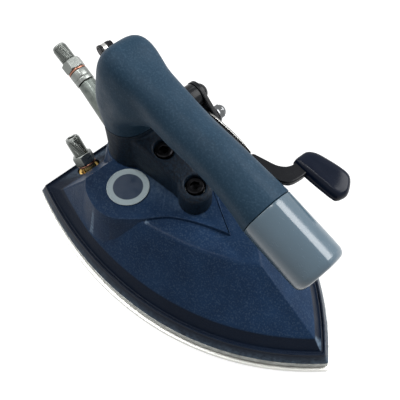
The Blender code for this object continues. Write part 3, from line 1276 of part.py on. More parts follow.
NIPPLE_LENGTH = HEX_LENGTH + THREAD_RUNOUT + THREAD_TURNS * THREAD_PITCH + THREAD_RUNOUT


def make_nipple(name, foot, direction, spigot):
    """Hose nipple: hexagon, threaded end and a spigot into what carries it."""
    root = THREAD_RADIUS - THREAD_DEPTH
    profile = [(root, NIPPLE_LENGTH)]
    thread_top = NIPPLE_LENGTH - THREAD_RUNOUT
    for index in range(THREAD_TURNS):
        crest = thread_top - index * THREAD_PITCH
        profile += [(THREAD_RADIUS, crest), (root, crest - THREAD_PITCH / 2)]
    profile += [(root, HEX_LENGTH / 2), (NIPPLE_SPIGOT_RADIUS, HEX_LENGTH / 2),
                (NIPPLE_SPIGOT_RADIUS, -spigot), (NIPPLE_BORE_RADIUS, -spigot),
                (NIPPLE_BORE_RADIUS, NIPPLE_LENGTH)]
    nipple = turned(name, profile, foot, direction, PARTS, GRIP_SIDES // 2)
    corner = HEX_ACROSS_FLATS / math.sqrt(3)
    hexagon = turned(name + "_hexagon", [(corner, HEX_LENGTH), (corner, 0), (NIPPLE_BORE_RADIUS, 0),
                                         (NIPPLE_BORE_RADIUS, HEX_LENGTH)], foot, direction, CUTTERS, 6)
    bore = rods(name + "_bore", [(foot - direction * OVERRUN, foot + direction * (HEX_LENGTH + OVERRUN))],
                NIPPLE_BORE_RADIUS, CUTTERS, sides=GRIP_SIDES // 2)
    join(nipple, hexagon)
    cut(nipple, bore)
    paint(nipple, (158, 158, 150), 0.3, 1.0)


def make_copper_washer(name, foot, direction):
    """Copper sealing ring."""
    bore = NIPPLE_SPIGOT_RADIUS + SEAT_GAP
    washer = turned(name, [(COPPER_WASHER_RADIUS, COPPER_WASHER_THICKNESS), (COPPER_WASHER_RADIUS, 0),
                           (bore, 0), (bore, COPPER_WASHER_THICKNESS)], foot, direction, PARTS)
    paint(washer, (186, 128, 100), 0.35, 1.0)


def make_inlet():
    """Union, copper ring and hose nipple on the valve's branch."""
    direction = INLET_DIRECTION
    branch_tip = Vector((VALVE_X, VALVE_SIDE, VALVE_FLOOR + BRANCH_HEIGHT)) + direction * BRANCH_LENGTH
    foot = branch_tip + direction * SEAT_GAP
    bore = NIPPLE_SPIGOT_RADIUS + SEAT_GAP
    bore_floor = UNION_LENGTH - SPIGOT_LENGTH - SEAT_GAP
    union = turned("inlet_union", [(UNION_RADIUS, UNION_LENGTH), (UNION_RADIUS, 0),
                                   (UNION_SPIGOT_RADIUS, 0), (UNION_SPIGOT_RADIUS, -SPIGOT_LENGTH),
                                   (BRANCH_BORE_RADIUS, -SPIGOT_LENGTH), (BRANCH_BORE_RADIUS, bore_floor),
                                   (bore, bore_floor), (bore, UNION_LENGTH)], foot, direction, PARTS)
    paint(union, (168, 160, 140), 0.3, 1.0)
    washer_foot = foot + direction * (UNION_LENGTH + SEAT_GAP)
    make_copper_washer("inlet_washer", washer_foot, direction)
    nipple_foot = washer_foot + direction * (COPPER_WASHER_THICKNESS + SEAT_GAP)
    make_nipple("inlet_nipple", nipple_foot, direction, SPIGOT_LENGTH)


def make_outlet():
    """Brass elbow through the cover's slot, with its copper ring and hose nipple."""
    direction = OUTLET_DIRECTION
    floor = BOSS_TOP + SEAT_GAP
    elbow = plate("outlet_elbow", [outlet_outline(0)], OUTLET_BASE_HEIGHT,
                  floor + OUTLET_BASE_HEIGHT / 2, PARTS)
    hub = rods("outlet_hub", [outlet_hub_line(-OUTLET_HUB_LENGTH, 0)], OUTLET_HUB_RADIUS, CUTTERS)
    below = box("under_elbow", (OUTLET_X - OUTLET_BASE_LENGTH, OUTLET_SIDE - OUTLET_BASE_LENGTH, 0),
                (OUTLET_X + OUTLET_BASE_LENGTH, OUTLET_SIDE + OUTLET_BASE_LENGTH, floor + SEAT_GAP), CUTTERS)
    port_line = upright_lines([(OUTLET_X + OUTLET_PORT_OFFSET, OUTLET_SIDE)], floor - OVERRUN,
                              floor + OUTLET_BASE_HEIGHT * 5 / 6)
    port = rods("elbow_port", port_line, NIPPLE_BORE_RADIUS, CUTTERS, sides=HOLE_SIDES)
    bore = rods("elbow_bore", [outlet_hub_line(-OUTLET_HUB_LENGTH * 4 / 5, OVERRUN)], NIPPLE_BORE_RADIUS,
                CUTTERS, sides=HOLE_SIDES)
    socket = rods("elbow_socket", [outlet_hub_line(-OUTLET_HUB_LENGTH / 2 - SEAT_GAP, OVERRUN)],
                  NIPPLE_SPIGOT_RADIUS + SEAT_GAP, CUTTERS)
    cut(hub, below)
    join(elbow, hub)
    cut(elbow, port, bore, socket)
    paint(elbow, (190, 160, 96), 0.3, 1.0)
    seat = outlet_seat()
    washer_foot = seat + direction * SEAT_GAP
    make_copper_washer("outlet_washer", washer_foot, direction)
    nipple_foot = washer_foot + direction * (COPPER_WASHER_THICKNESS + SEAT_GAP)
    make_nipple("outlet_nipple", nipple_foot, direction, OUTLET_HUB_LENGTH / 2 + COPPER_WASHER_THICKNESS)


def main():
    """Build every piece."""
    make_sole_plate()
    make_sole_gasket()
    make_sole_screws()
    make_steam_body()
    make_insulation_pad()
    make_cover()
    make_badge()
    make_handle_bracket()
    make_handle_bolts()
    make_handle()
    make_pivot()
    make_lever()
    make_valve_body()
    make_bonnet()
    make_stem()
    make_inlet()
    make_outlet()
    bpy.context.view_layer.update()
    for item in PARTS.objects:
        if item.type == "MESH":
            smooth(item)


main()
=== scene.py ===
"""Looks of a hose-fed steam iron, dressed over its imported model."""
import json
import logging
import math
from dataclasses import dataclass
from enum import Enum
from typing import Callable, Iterable, Optional, Sequence

import bmesh
import bpy
from mathutils import Matrix, Vector


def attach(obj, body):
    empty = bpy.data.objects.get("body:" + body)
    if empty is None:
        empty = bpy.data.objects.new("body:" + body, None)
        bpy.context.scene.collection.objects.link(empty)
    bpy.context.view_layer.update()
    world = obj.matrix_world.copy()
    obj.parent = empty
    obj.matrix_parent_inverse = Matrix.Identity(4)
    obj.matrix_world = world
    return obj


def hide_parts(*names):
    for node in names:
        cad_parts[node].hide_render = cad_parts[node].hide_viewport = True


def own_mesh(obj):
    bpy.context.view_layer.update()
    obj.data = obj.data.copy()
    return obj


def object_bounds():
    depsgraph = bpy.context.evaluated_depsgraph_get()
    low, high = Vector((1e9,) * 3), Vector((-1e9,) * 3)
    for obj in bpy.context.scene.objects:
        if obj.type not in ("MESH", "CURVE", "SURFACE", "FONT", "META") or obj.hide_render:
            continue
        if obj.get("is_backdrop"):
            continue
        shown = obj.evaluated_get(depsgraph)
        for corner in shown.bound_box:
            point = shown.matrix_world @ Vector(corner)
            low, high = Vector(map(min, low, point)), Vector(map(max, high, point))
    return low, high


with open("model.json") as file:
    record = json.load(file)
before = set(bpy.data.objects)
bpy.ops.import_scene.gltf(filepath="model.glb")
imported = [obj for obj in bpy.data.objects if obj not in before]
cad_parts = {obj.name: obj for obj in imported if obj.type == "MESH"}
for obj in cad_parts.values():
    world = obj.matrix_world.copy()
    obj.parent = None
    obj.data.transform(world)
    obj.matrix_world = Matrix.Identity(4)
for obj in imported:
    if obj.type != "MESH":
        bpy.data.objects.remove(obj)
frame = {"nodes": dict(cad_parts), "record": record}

LOG = logging.getLogger("steam_iron")
MILLIMETRE = 0.001
UP = Vector((0, 0, 1))
LEFT = Vector((0, 1, 0))
Points = list[Vector]
Row = tuple[float, ...]
Pairs = tuple[tuple[float, float], ...]
Reach = Callable[[float], float]
Colour = tuple[int, int, int]
Shape = bmesh.types.BMesh
Item = bpy.types.Object
Socket = bpy.types.NodeSocket

VALVE_PLACE = Vector((-87.0, 4.5, 0.0))
OUTLET_PLACE = Vector((-90.0, -23.1, 0.0))
BADGE_PLACE = Vector((-42.2, -23.0, 0.0))
BOLT_PLACES = (-35.3, -9.5)
BOLT_HOLE = 3.3


class Body(Enum):
    """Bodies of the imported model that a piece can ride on."""

    IRON = "iron"
    LEVER = "lever"
    STEM = "stem"


class Shading(Enum):
    """Angle in degrees past which an edge stays sharp."""

    ROUND = 60.0
    MADE = 32.0
    FLAT = 12.0


# ---- curves and outlines

def flat(x: float, y: float, z: float = 0.0) -> Vector:
    """Point from its three values in millimetres."""
    return Vector((x, y, z))


def rounded(path: Points, radii: Sequence[float], steps: int = 4, closed: bool = False) -> Points:
    """Round a path's corners.

    Args:
        path: corner points.
        radii: how far from each corner its rounding starts, 0 to keep the corner.
        steps: sides of each rounding.
        closed: whether the last point joins the first.

    Returns:
        The path with each rounded corner as several points.
    """
    result: Points = []
    count = len(path)
    for index, (corner, radius) in enumerate(zip(path, radii)):
        inside = closed or 0 < index < count - 1
        if radius <= 0 or not inside:
            result.append(corner.copy())
            continue
        before = path[index - 1] - corner
        after = path[(index + 1) % count] - corner
        reach = min(radius, 0.48 * before.length, 0.48 * after.length)
        start = corner + before.normalized() * reach
        stop = corner + after.normalized() * reach
        for step in range(steps + 1):
            share = step / steps
            result.append(start * (1 - share) ** 2 + corner * 2 * share * (1 - share)
                          + stop * share ** 2)
    return result


def smooth_path(path: Points, steps: int = 6, closed: bool = False) -> Points:
    """Run a smooth curve through a path's points.

    Args:
        path: points on the curve.
        steps: sides between two points.
        closed: whether the last point joins the first.

    Returns:
        The finer path, which still holds every given point.
    """
    count = len(path)
    result: Points = []
    for index in range(count if closed else count - 1):
        before, start, stop, after = [
            path[place % count if closed else min(count - 1, max(0, place))]
            for place in range(index - 1, index + 3)]
        for step in range(steps):
            share = step / steps
            result.append((start * 2 + (stop - before) * share
                           + (before * 2 - start * 5 + stop * 4 - after) * share ** 2
                           + (start * 3 - before - stop * 3 + after) * share ** 3) / 2)
    if not closed:
        result.append(path[-1].copy())
    return result


def bezier(controls: Sequence[Vector], share: float) -> tuple[Vector, Vector]:
    """Find a place on a cubic curve.

    Args:
        controls: the curve's four control points.
        share: how far along it the place is.

    Returns:
        The point and the direction there.
    """
    first, second, third, last = controls
    rest = 1 - share
    point = (first * rest ** 3 + second * 3 * rest ** 2 * share + third * 3 * rest * share ** 2
             + last * share ** 3)
    heading = ((second - first) * rest ** 2 + (third - second) * 2 * rest * share
               + (last - third) * share ** 2)
    return point, heading.normalized()


def moved_out(outline: Points, distance: float) -> Points:
    """Move each side of a closed level outline outwards.

    Args:
        outline: the outline, in either direction.
        distance: how far, negative to move it inwards.

    Returns:
        As many points, with sharp corners cut short.
    """
    least_share = 0.4
    count = len(outline)
    area = sum(outline[index - 1].x * outline[index].y - outline[index - 1].y * outline[index].x
               for index in range(count))
    turn = -1.0 if area > 0 else 1.0
    result: Points = []
    for index, place in enumerate(outline):
        before = (place - outline[index - 1]).normalized()
        after = (outline[(index + 1) % count] - place).normalized()
        side_before = Vector((-before.y, before.x, 0)) * turn
        side_after = Vector((-after.y, after.x, 0)) * turn
        middle = (side_before + side_after).normalized()
        result.append(place + middle * distance / max(least_share, middle.dot(side_before)))
    return result


def at_height(outline: Iterable[Vector], height: float) -> Points:
    """Copy of an outline at one height."""
    return [Vector((place.x, place.y, height)) for place in outline]


def arc(centre: Vector, radius: float, start: float, stop: float, steps: int) -> Points:
    """Points of a level arc between two angles in degrees, both ends included."""
    turns = [math.radians(start + (stop - start) * index / steps) for index in range(steps + 1)]
    return [centre + flat(radius * math.cos(turn), radius * math.sin(turn)) for turn in turns]


def hole(centre: Vector, radius: float) -> Points:
    """Closed outline of a round hole with a side for every 12 degrees."""
    return arc(centre, radius, 0, 348, 29)


def oblong(centre: Vector, straight: float, radius: float, steps: int) -> Points:
    """Outline of a slot across the iron, with a half circle at each end."""
    return (arc(centre + LEFT * straight, radius, 0, 180, steps)
            + arc(centre - LEFT * straight, radius, 180, 360, steps))


def hexagon(half_flats: float, limit: float = math.inf, twist: float = 0.0) -> Reach:
    """Reach of a hexagon whose corners are turned down to a limit.

    Args:
        half_flats: half its width over flats.
        limit: furthest that a corner may reach.
        twist: how far it is turned, in radians.

    Returns:
        Its reach in each direction.
    """
    sixth = math.pi / 3

    def reach(turn: float) -> float:
        """Reach in one direction."""
        return min(limit, half_flats / math.cos((turn + twist + sixth / 2) % sixth - sixth / 2))

    return reach


def ring_around(height: float, reach: Reach | float, sides: int = 96) -> Points:
    """Level ring round the Z axis, with one radius or a reach for each direction."""
    turns = [2 * math.pi * index / sides for index in range(sides)]
    reaches = [reach(turn) if callable(reach) else reach for turn in turns]
    return [flat(far * math.cos(turn), far * math.sin(turn), height)
            for turn, far in zip(turns, reaches)]


def laid(shape: Shape, foot: Vector, direction: Vector) -> Shape:
    """Lay a shape made along +Z onto a foot and a direction."""
    turn = UP.rotation_difference(direction).to_matrix().to_4x4()
    bmesh.ops.transform(shape, matrix=Matrix.Translation(foot) @ turn, verts=shape.verts[:])
    return shape


# ---- shapes

def loft(rings: Sequence[Points], wrap: bool = False) -> Shape:
    """Skin a row of rings.

    Args:
        rings: closed rings with equal numbers of points.
        wrap: whether the last ring joins the first, instead of flat ends.

    Returns:
        The closed shape.
    """
    shape = bmesh.new()
    circle = bmesh.ops.create_circle(shape, cap_ends=False, segments=len(rings[0]), radius=1.0)
    loop = circle["verts"]
    first = loop
    for vert, place in zip(loop, rings[0]):
        vert.co = place
    edges = list(shape.edges)
    for ring in rings[1:]:
        grown = bmesh.ops.extrude_edge_only(shape, edges=edges)["geom"]
        fresh = {item for item in grown if isinstance(item, bmesh.types.BMVert)}
        edges = [item for item in grown if isinstance(item, bmesh.types.BMEdge)
                 and item.verts[0] in fresh and item.verts[1] in fresh]
        loop = [next(edge.other_vert(vert) for edge in vert.link_edges
                     if edge.other_vert(vert) in fresh) for vert in loop]
        for vert, place in zip(loop, ring):
            vert.co = place
    if wrap:
        bmesh.ops.bridge_loops(shape, edges=[edge for edge in shape.edges if edge.is_boundary])
    else:
        shape.faces.new(first)
        shape.faces.new(loop)
    bmesh.ops.recalc_face_normals(shape, faces=shape.faces[:])
    return shape


def profiled(base_rings: Sequence[Points], radii: Sequence[float], steps: int = 4) -> list[Points]:
    """Round the edges that rings of a loft make across it.

    Args:
        base_rings: the loft's main rings.
        radii: rounding at each of them, 0 for none.
        steps: sides of each rounding.

    Returns:
        The finer row of rings.
    """
    lines = [rounded([ring[index] for ring in base_rings], radii, steps)
             for index in range(len(base_rings[0]))]
    return [[line[row] for line in lines] for row in range(len(lines[0]))]


def spun(profile: Sequence[tuple[float, float]], foot: Vector, direction: Vector,
         bevel: float = 0.0, steps: int = 72) -> Shape:
    """Turn a profile of radius and distance along an axis.

    Args:
        profile: closed profile, in order.
        foot: the axis's start.
        direction: the axis's direction.
        bevel: rounding of the profile's corners off the axis.
        steps: sides of the full turn.

    Returns:
        The closed round shape.
    """
    corners = [Vector((radius, 0, along)) for radius, along in profile]
    radii = [0.0 if corner.x == 0 else bevel for corner in corners]
    shape = bmesh.new()
    verts = [shape.verts.new(corner) for corner in rounded(corners, radii, 3, closed=True)]
    edges = [shape.edges.new((verts[index - 1], vert)) for index, vert in enumerate(verts)
             if not (verts[index - 1].co.x == 0 and vert.co.x == 0)]
    bmesh.ops.spin(shape, geom=verts + edges, cent=(0, 0, 0), axis=UP, dvec=(0, 0, 0),
                   angle=2 * math.pi, steps=steps, use_merge=True)
    bmesh.ops.remove_doubles(shape, verts=shape.verts[:], dist=0.0005)
    bmesh.ops.recalc_face_normals(shape, faces=shape.faces[:])
    return laid(shape, foot, direction)


def plate(outlines: Sequence[Points], thickness: float, edge: float = 0.3,
          segments: int = 2) -> Shape:
    """Cut a plate from level outlines, with its bottom at their height and rounded rims.

    Args:
        outlines: the outer outline, then any holes.
        thickness: how far it rises.
        edge: rounding of its rims.
        segments: sides of that rounding.

    Returns:
        The closed plate.
    """
    level_angle, rim_angle = 0.01, 1.2
    shape = bmesh.new()
    for outline in outlines:
        verts = [shape.verts.new(place) for place in outline]
        for index, vert in enumerate(verts):
            shape.edges.new((verts[index - 1], vert))
    bmesh.ops.triangle_fill(shape, use_beauty=True, use_dissolve=False, edges=shape.edges[:])
    bmesh.ops.dissolve_limit(shape, angle_limit=level_angle, verts=[], edges=shape.edges[:])
    grown = bmesh.ops.extrude_face_region(shape, geom=shape.faces[:], use_keep_orig=True)["geom"]
    lifted = [item for item in grown if isinstance(item, bmesh.types.BMVert)]
    bmesh.ops.translate(shape, verts=lifted, vec=UP * thickness)
    bmesh.ops.recalc_face_normals(shape, faces=shape.faces[:])
    if edge > 0:
        rims = [item for item in shape.edges if item.calc_face_angle(0.0) > rim_angle
                and abs(item.verts[0].co.z - item.verts[1].co.z) < thickness / 4]
        bmesh.ops.bevel(shape, geom=rims, offset=edge, offset_type="OFFSET", segments=segments,
                        profile=0.5, affect="EDGES", clamp_overlap=True, material=-1)
    return shape


def flat_ring(inner: float, outer: float, height: float, foot: Vector, direction: Vector,
              edge: float) -> Shape:
    """Washer or collar on an axis, with rounded rims."""
    profile = [(inner, 0.0), (outer, 0.0), (outer, height), (inner, height)]
    return spun(profile, foot, direction, edge)


def upright(shape: Shape, origin: Vector, side: float) -> Shape:
    """Stand a level plate up so that its own Y becomes height.

    Args:
        shape: plate made at height 0 round an origin.
        origin: where its own origin goes in X and Z.
        side: left side where its bottom face goes.

    Returns:
        The same shape, moved.
    """
    stand = Matrix(((1, 0, 0, origin.x), (0, 0, 1, side), (0, 1, 0, origin.z), (0, 0, 0, 1)))
    bmesh.ops.transform(shape, matrix=stand, verts=shape.verts[:])
    bmesh.ops.recalc_face_normals(shape, faces=shape.faces[:])
    return shape


def block(low: Vector, high: Vector) -> Shape:
    """Box between its lowest and its highest corner."""
    shape = bmesh.new()
    bmesh.ops.create_cube(shape, size=1.0)
    bmesh.ops.scale(shape, vec=high - low, verts=shape.verts[:])
    bmesh.ops.translate(shape, vec=(high + low) / 2, verts=shape.verts[:])
    return shape


def rod(start: Vector, stop: Vector, radius: float, end_radius: Optional[float] = None,
        sides: int = 64) -> Shape:
    """Round bar between two points.

    Args:
        start: middle of its first end.
        stop: middle of its last end.
        radius: its radius at the first end.
        end_radius: its radius at the last end, the same where it isn't given.
        sides: sides of its circle.

    Returns:
        The closed bar.
    """
    shape = bmesh.new()
    length = (stop - start).length
    bmesh.ops.create_cone(shape, cap_ends=True, segments=sides, radius1=radius,
                          radius2=radius if end_radius is None else end_radius, depth=length)
    bmesh.ops.translate(shape, vec=UP * length / 2, verts=shape.verts[:])
    return laid(shape, start, (stop - start).normalized())


def joined(shapes: Sequence[Shape]) -> Shape:
    """Put shapes that don't touch into one, to cut with them in one go.

    Args:
        shapes: the shapes, used up apart from the first.

    Returns:
        The first shape, with the others added.
    """
    first, *others = shapes
    for other in others:
        spare = bpy.data.meshes.new("spare")
        other.to_mesh(spare)
        other.free()
        first.from_mesh(spare)
        bpy.data.meshes.remove(spare)
    return first


def as_object(shape: Shape, name: str) -> Item:
    """Turn a shape in millimetres into an object.

    Args:
        shape: the shape, used up.
        name: name of the object and its mesh.

    Returns:
        The object, in metres.
    """
    bmesh.ops.scale(shape, vec=Vector((MILLIMETRE,) * 3), verts=shape.verts[:])
    mesh = bpy.data.meshes.new(name)
    shape.to_mesh(mesh)
    shape.free()
    item = bpy.data.objects.new(name, mesh)
    bpy.context.scene.collection.objects.link(item)
    return item


def settle(item: Item) -> None:
    """Turn an object's live modifiers into its mesh."""
    evaluated = item.evaluated_get(bpy.context.evaluated_depsgraph_get())
    mesh = bpy.data.meshes.new_from_object(evaluated)
    item.modifiers.clear()
    old = item.data
    item.data = mesh
    bpy.data.meshes.remove(old)


def combined(target: Item, shapes: Iterable[Shape], operation: str) -> None:
    """Unite shapes with an object or cut them from it.

    Args:
        target: object that changes.
        shapes: shapes in millimetres, used up.
        operation: UNION, DIFFERENCE or INTERSECT.
    """
    helpers = [as_object(shape, f"{target.name}_helper_{index}")
               for index, shape in enumerate(shapes)]
    for helper in helpers:
        step = target.modifiers.new(operation, "BOOLEAN")
        step.operation = operation
        step.solver = "EXACT"
        step.object = helper
    settle(target)
    for helper in helpers:
        bpy.data.objects.remove(helper)


def softened(item: Item, voxel: float, passes: int) -> None:
    """Run a casting's edges together as in a mould.

    Args:
        item: object that changes.
        voxel: grain of the new mesh in millimetres.
        passes: how often its points are evened out.
    """
    grid = item.modifiers.new("grid", "REMESH")
    grid.mode = "VOXEL"
    grid.voxel_size = voxel * MILLIMETRE
    settle(item)
    shape = bmesh.new()
    shape.from_mesh(item.data)
    for _ in range(passes):
        bmesh.ops.smooth_vert(shape, verts=shape.verts[:], factor=0.5, use_axis_x=True,
                              use_axis_y=True, use_axis_z=True)
    shape.to_mesh(item.data)
    shape.free()


# ---- finishes

def linear(colour: Colour) -> tuple[float, float, float, float]:
    """Shader colour for one given as it looks on a screen, 0 to 255."""
    values = [channel / 255 for channel in colour]
    return (*[value / 12.92 if value <= 0.04045 else ((value + 0.055) / 1.055) ** 2.4
              for value in values], 1.0)


class MaterialNodes:
    """Node tree of one material, with the links that every finish here uses."""

    def __init__(self, name: str) -> None:
        """Start a material with one Principled shader."""
        self.material = bpy.data.materials.new(name)
        self.material.use_nodes = True
        self.tree = self.material.node_tree
        self.shader = next(node for node in self.tree.nodes if node.type == "BSDF_PRINCIPLED")
        self.place = self.tree.nodes.new("ShaderNodeTexCoord").outputs["Object"]

    def link(self, start: Socket, stop: Socket) -> None:
        """Join two sockets."""
        self.tree.links.new(start, stop)

    def node(self, kind: str, **values: float | Vector) -> bpy.types.Node:
        """Add a node and set some inputs, with _ for the space in a name."""
        node = self.tree.nodes.new("ShaderNode" + kind)
        for name, value in values.items():
            node.inputs[name.replace("_", " ")].default_value = value
        return node

    def noise(self, scale: float, detail: float = 4.0, roughness: float = 0.55,
              stretch: Optional[Vector] = None) -> Socket:
        """Noise over the object's own coordinates.

        Args:
            scale: patches in a metre.
            detail: how many finer layers it has.
            roughness: strength of those.
            stretch: scale along each axis, for brushed surfaces.

        Returns:
            The value's socket.
        """
        node = self.node("TexNoise", Scale=scale, Detail=detail, Roughness=roughness)
        source = self.place
        if stretch is not None:
            mapping = self.node("Mapping", Scale=stretch)
            self.link(source, mapping.inputs["Vector"])
            source = mapping.outputs["Vector"]
        self.link(source, node.inputs["Vector"])
        return node.outputs["Fac"]

    def cells(self, scale: float) -> Socket:
        """Distance from the middle of rounded cells, for pebbles and wrinkles."""
        node = self.node("TexVoronoi")
        node.feature = "SMOOTH_F1"
        node.inputs["Scale"].default_value = scale
        self.link(self.place, node.inputs["Vector"])
        return node.outputs["Distance"]

    def mapped(self, value: Socket, low: float, high: float, start: float = 0.3,
               stop: float = 0.7) -> Socket:
        """Spread a value between two others, and hold it at both.

        Args:
            value: what is spread.
            low: result at the start.
            high: result at the stop.
            start: value that gives the first.
            stop: value that gives the second.

        Returns:
            The result's socket.
        """
        node = self.node("MapRange", From_Min=start, From_Max=stop, To_Min=low, To_Max=high)
        self.link(value, node.inputs["Value"])
        return node.outputs["Result"]

    def mixed(self, share: Socket, below: Socket | Colour, above: Colour) -> Socket:
        """Lay one colour over another.

        Args:
            share: how much of the upper one shows.
            below: the lower colour, or a socket that gives it.
            above: the upper colour.

        Returns:
            The mixed colour's socket.
        """
        node = self.node("Mix")
        node.data_type = "RGBA"
        sockets = {socket.identifier: socket for socket in node.inputs}
        if isinstance(below, tuple):
            sockets["A_Color"].default_value = linear(below)
        else:
            self.link(below, sockets["A_Color"])
        sockets["B_Color"].default_value = linear(above)
        self.link(share, sockets["Factor_Float"])
        return next(socket for socket in node.outputs if socket.identifier == "Result_Color")

    def mottled(self, texture: Socket, shade: Colour, colour: Colour) -> Socket:
        """Colour that wanders between a darker and a lighter one."""
        return self.mixed(self.mapped(texture, 0.0, 1.0), shade, colour)

    def worn_and_lit_edges(self, start: float, stop: float, most: float) -> Socket:
        """Find outer edges, broken up by noise, for wear and for painted highlight.

        Args:
            start: pointedness at which the wear and painted highlight begin.
            stop: pointedness at which it is complete.
            most: share of wear and painted highlight there.

        Returns:
            The share's socket.
        """
        edges = self.node("NewGeometry").outputs["Pointiness"]
        rise = self.mapped(edges, 0.0, most, start, stop)
        patches = self.mapped(self.noise(400.0), 0.2, 1.0)
        product = self.node("Math")
        product.operation = "MULTIPLY"
        self.link(rise, product.inputs[0])
        self.link(patches, product.inputs[1])
        return product.outputs["Value"]

    def bump(self, height: Socket, depth: float, strength: float) -> None:
        """Relief on the shader, over what is already there.

        Args:
            height: value that makes the relief.
            depth: its full depth in millimetres.
            strength: how strongly it shows.
        """
        node = self.node("Bump", Strength=strength, Distance=depth * MILLIMETRE)
        self.link(height, node.inputs["Height"])
        normal = self.shader.inputs["Normal"]
        if normal.is_linked:
            self.link(normal.links[0].from_socket, node.inputs["Normal"])
        self.link(node.outputs["Normal"], normal)

    def set(self, name: str, value: float) -> None:
        """Give one of the shader's own sockets its value."""
        self.shader.inputs[name].default_value = value

    def drive(self, name: str, value: Socket) -> None:
        """Let nodes give one of the shader's own sockets its value."""
        self.link(value, self.shader.inputs[name])

    def uneven_gloss(self, texture: Socket, roughness: float, smoother: float,
                     rougher: float) -> None:
        """Roughness that wanders a little below and above its value."""
        self.drive("Roughness", self.mapped(texture, roughness - smoother, roughness + rougher))


@dataclass(frozen=True)
class Finish:
    """One finish, named after the record's material slot."""

    name: str

    def material(self) -> bpy.types.Material:
        """Material with the finish's own nodes."""
        nodes = MaterialNodes(self.name)
        self.paint(nodes)
        return nodes.material

    def paint(self, nodes: MaterialNodes) -> None:
        """Lay out the nodes, as each kind of finish does in its own way."""
        raise NotImplementedError


@dataclass(frozen=True)
class MouldedPlastic(Finish):
    """Moulded plastic with a fine spark-eroded grain, and lightened edges that are partly wear and
    partly painted highlight.
    """

    colour: Colour
    shade: Colour
    # The rubbed colour and wear share lighten the edges: wear, and on the cover a painted highlight
    # along the bead and ramp edges.
    rubbed_and_highlight: Colour
    roughness: float
    depth: float
    gloss: float
    wear_and_highlight: float = 0.35
    grain: float = 900.0
    # speck: share of light specks on the real grain, painted as glints in the rubbed colour.
    speck: float = 0.0
    # rim_height with rim_shade_blend, rim_shade_share and rim_shade_colour paints shade: below
    # rim_height the colour darkens toward rim_shade_colour.
    rim_height: float = 0.0
    rim_shade_blend: float = 0.0004
    rim_shade_share: float = 0.85
    rim_shade_colour: Colour = (6, 13, 26)

    def paint(self, nodes: MaterialNodes) -> None:
        """Mottle the colour, add light specks and lightened edges that are partly wear and partly
        painted highlight, paint shade on the rim and raise the grain.
        """
        body = nodes.mottled(nodes.noise(55.0), self.shade, self.colour)
        # Light specks in the rubbed colour: painted glints on the grain.
        grain_glints = nodes.noise(self.grain * 1.2, detail=2.0)
        body = nodes.mixed(nodes.mapped(grain_glints, 0.0, self.speck, 0.5, 0.68), body, self.rubbed_and_highlight)
        # Painted shade: below rim_height the colour is darkened toward rim_shade_colour.
        if self.rim_height > 0:
            split = nodes.node("SeparateXYZ")
            nodes.link(nodes.place, split.inputs["Vector"])
            low = nodes.mapped(split.outputs["Z"], self.rim_shade_share, 0.0,
                               self.rim_height - self.rim_shade_blend, self.rim_height + self.rim_shade_blend)
            body = nodes.mixed(low, body, self.rim_shade_colour)
        # Edges lightened toward the rubbed colour: wear, and on the cover a painted highlight.
        worn_and_lit = nodes.worn_and_lit_edges(0.52, 0.60, self.wear_and_highlight)
        nodes.drive("Base Color", nodes.mixed(worn_and_lit, body, self.rubbed_and_highlight))
        nodes.uneven_gloss(nodes.noise(160.0, detail=6.0), self.roughness, 0.05, 0.07)
        nodes.set("Specular IOR Level", self.gloss)
        nodes.bump(nodes.cells(self.grain), self.depth, strength=0.5)
        nodes.bump(nodes.noise(90.0, detail=2.0), 0.15, strength=0.12)


@dataclass(frozen=True)
class GlossPlastic(Finish):
    """Polished plastic with a faint orange peel and fine scratches."""

    colour: Colour
    shade: Colour
    roughness: float = 0.2
    gloss: float = 0.5
    coat: float = 0.3
    coat_roughness: float = 0.12

    def paint(self, nodes: MaterialNodes) -> None:
        """Lay a clear coat over a slightly uneven body."""
        nodes.drive("Base Color", nodes.mottled(nodes.noise(40.0), self.shade, self.colour))
        scratches = nodes.noise(700.0, detail=6.0, roughness=0.7, stretch=flat(0.25, 1.0, 1.0))
        nodes.uneven_gloss(scratches, self.roughness, 0.04, 0.1)
        nodes.set("Specular IOR Level", self.gloss)
        nodes.set("Coat Weight", self.coat)
        nodes.set("Coat Roughness", self.coat_roughness)
        nodes.bump(nodes.noise(220.0, detail=2.0), 0.05, strength=0.12)
        nodes.bump(scratches, 0.01, strength=0.1)


@dataclass(frozen=True)
class WrinklePaint(Finish):
    """Wrinkle paint on cast metal."""

    colour: Colour
    shade: Colour
    roughness: float = 0.5
    wrinkle: float = 900.0
    depth: float = 0.14
    gloss: float = 0.12

    def paint(self, nodes: MaterialNodes) -> None:
        """Pebble the surface and paint shade into the hollows between its wrinkles."""
        cells = nodes.cells(self.wrinkle)
        # Painted shade: the hollows between the wrinkles take the darker shade colour.
        hollow_shade = nodes.mapped(cells, 0.0, 1.0, 0.1, 0.6)
        nodes.drive("Base Color", nodes.mixed(hollow_shade, self.colour, self.shade))
        nodes.uneven_gloss(nodes.noise(200.0), self.roughness, 0.06, 0.08)
        nodes.set("Specular IOR Level", self.gloss)
        nodes.bump(cells, self.depth, strength=0.6)
        nodes.bump(nodes.noise(500.0), 0.1, strength=0.3)


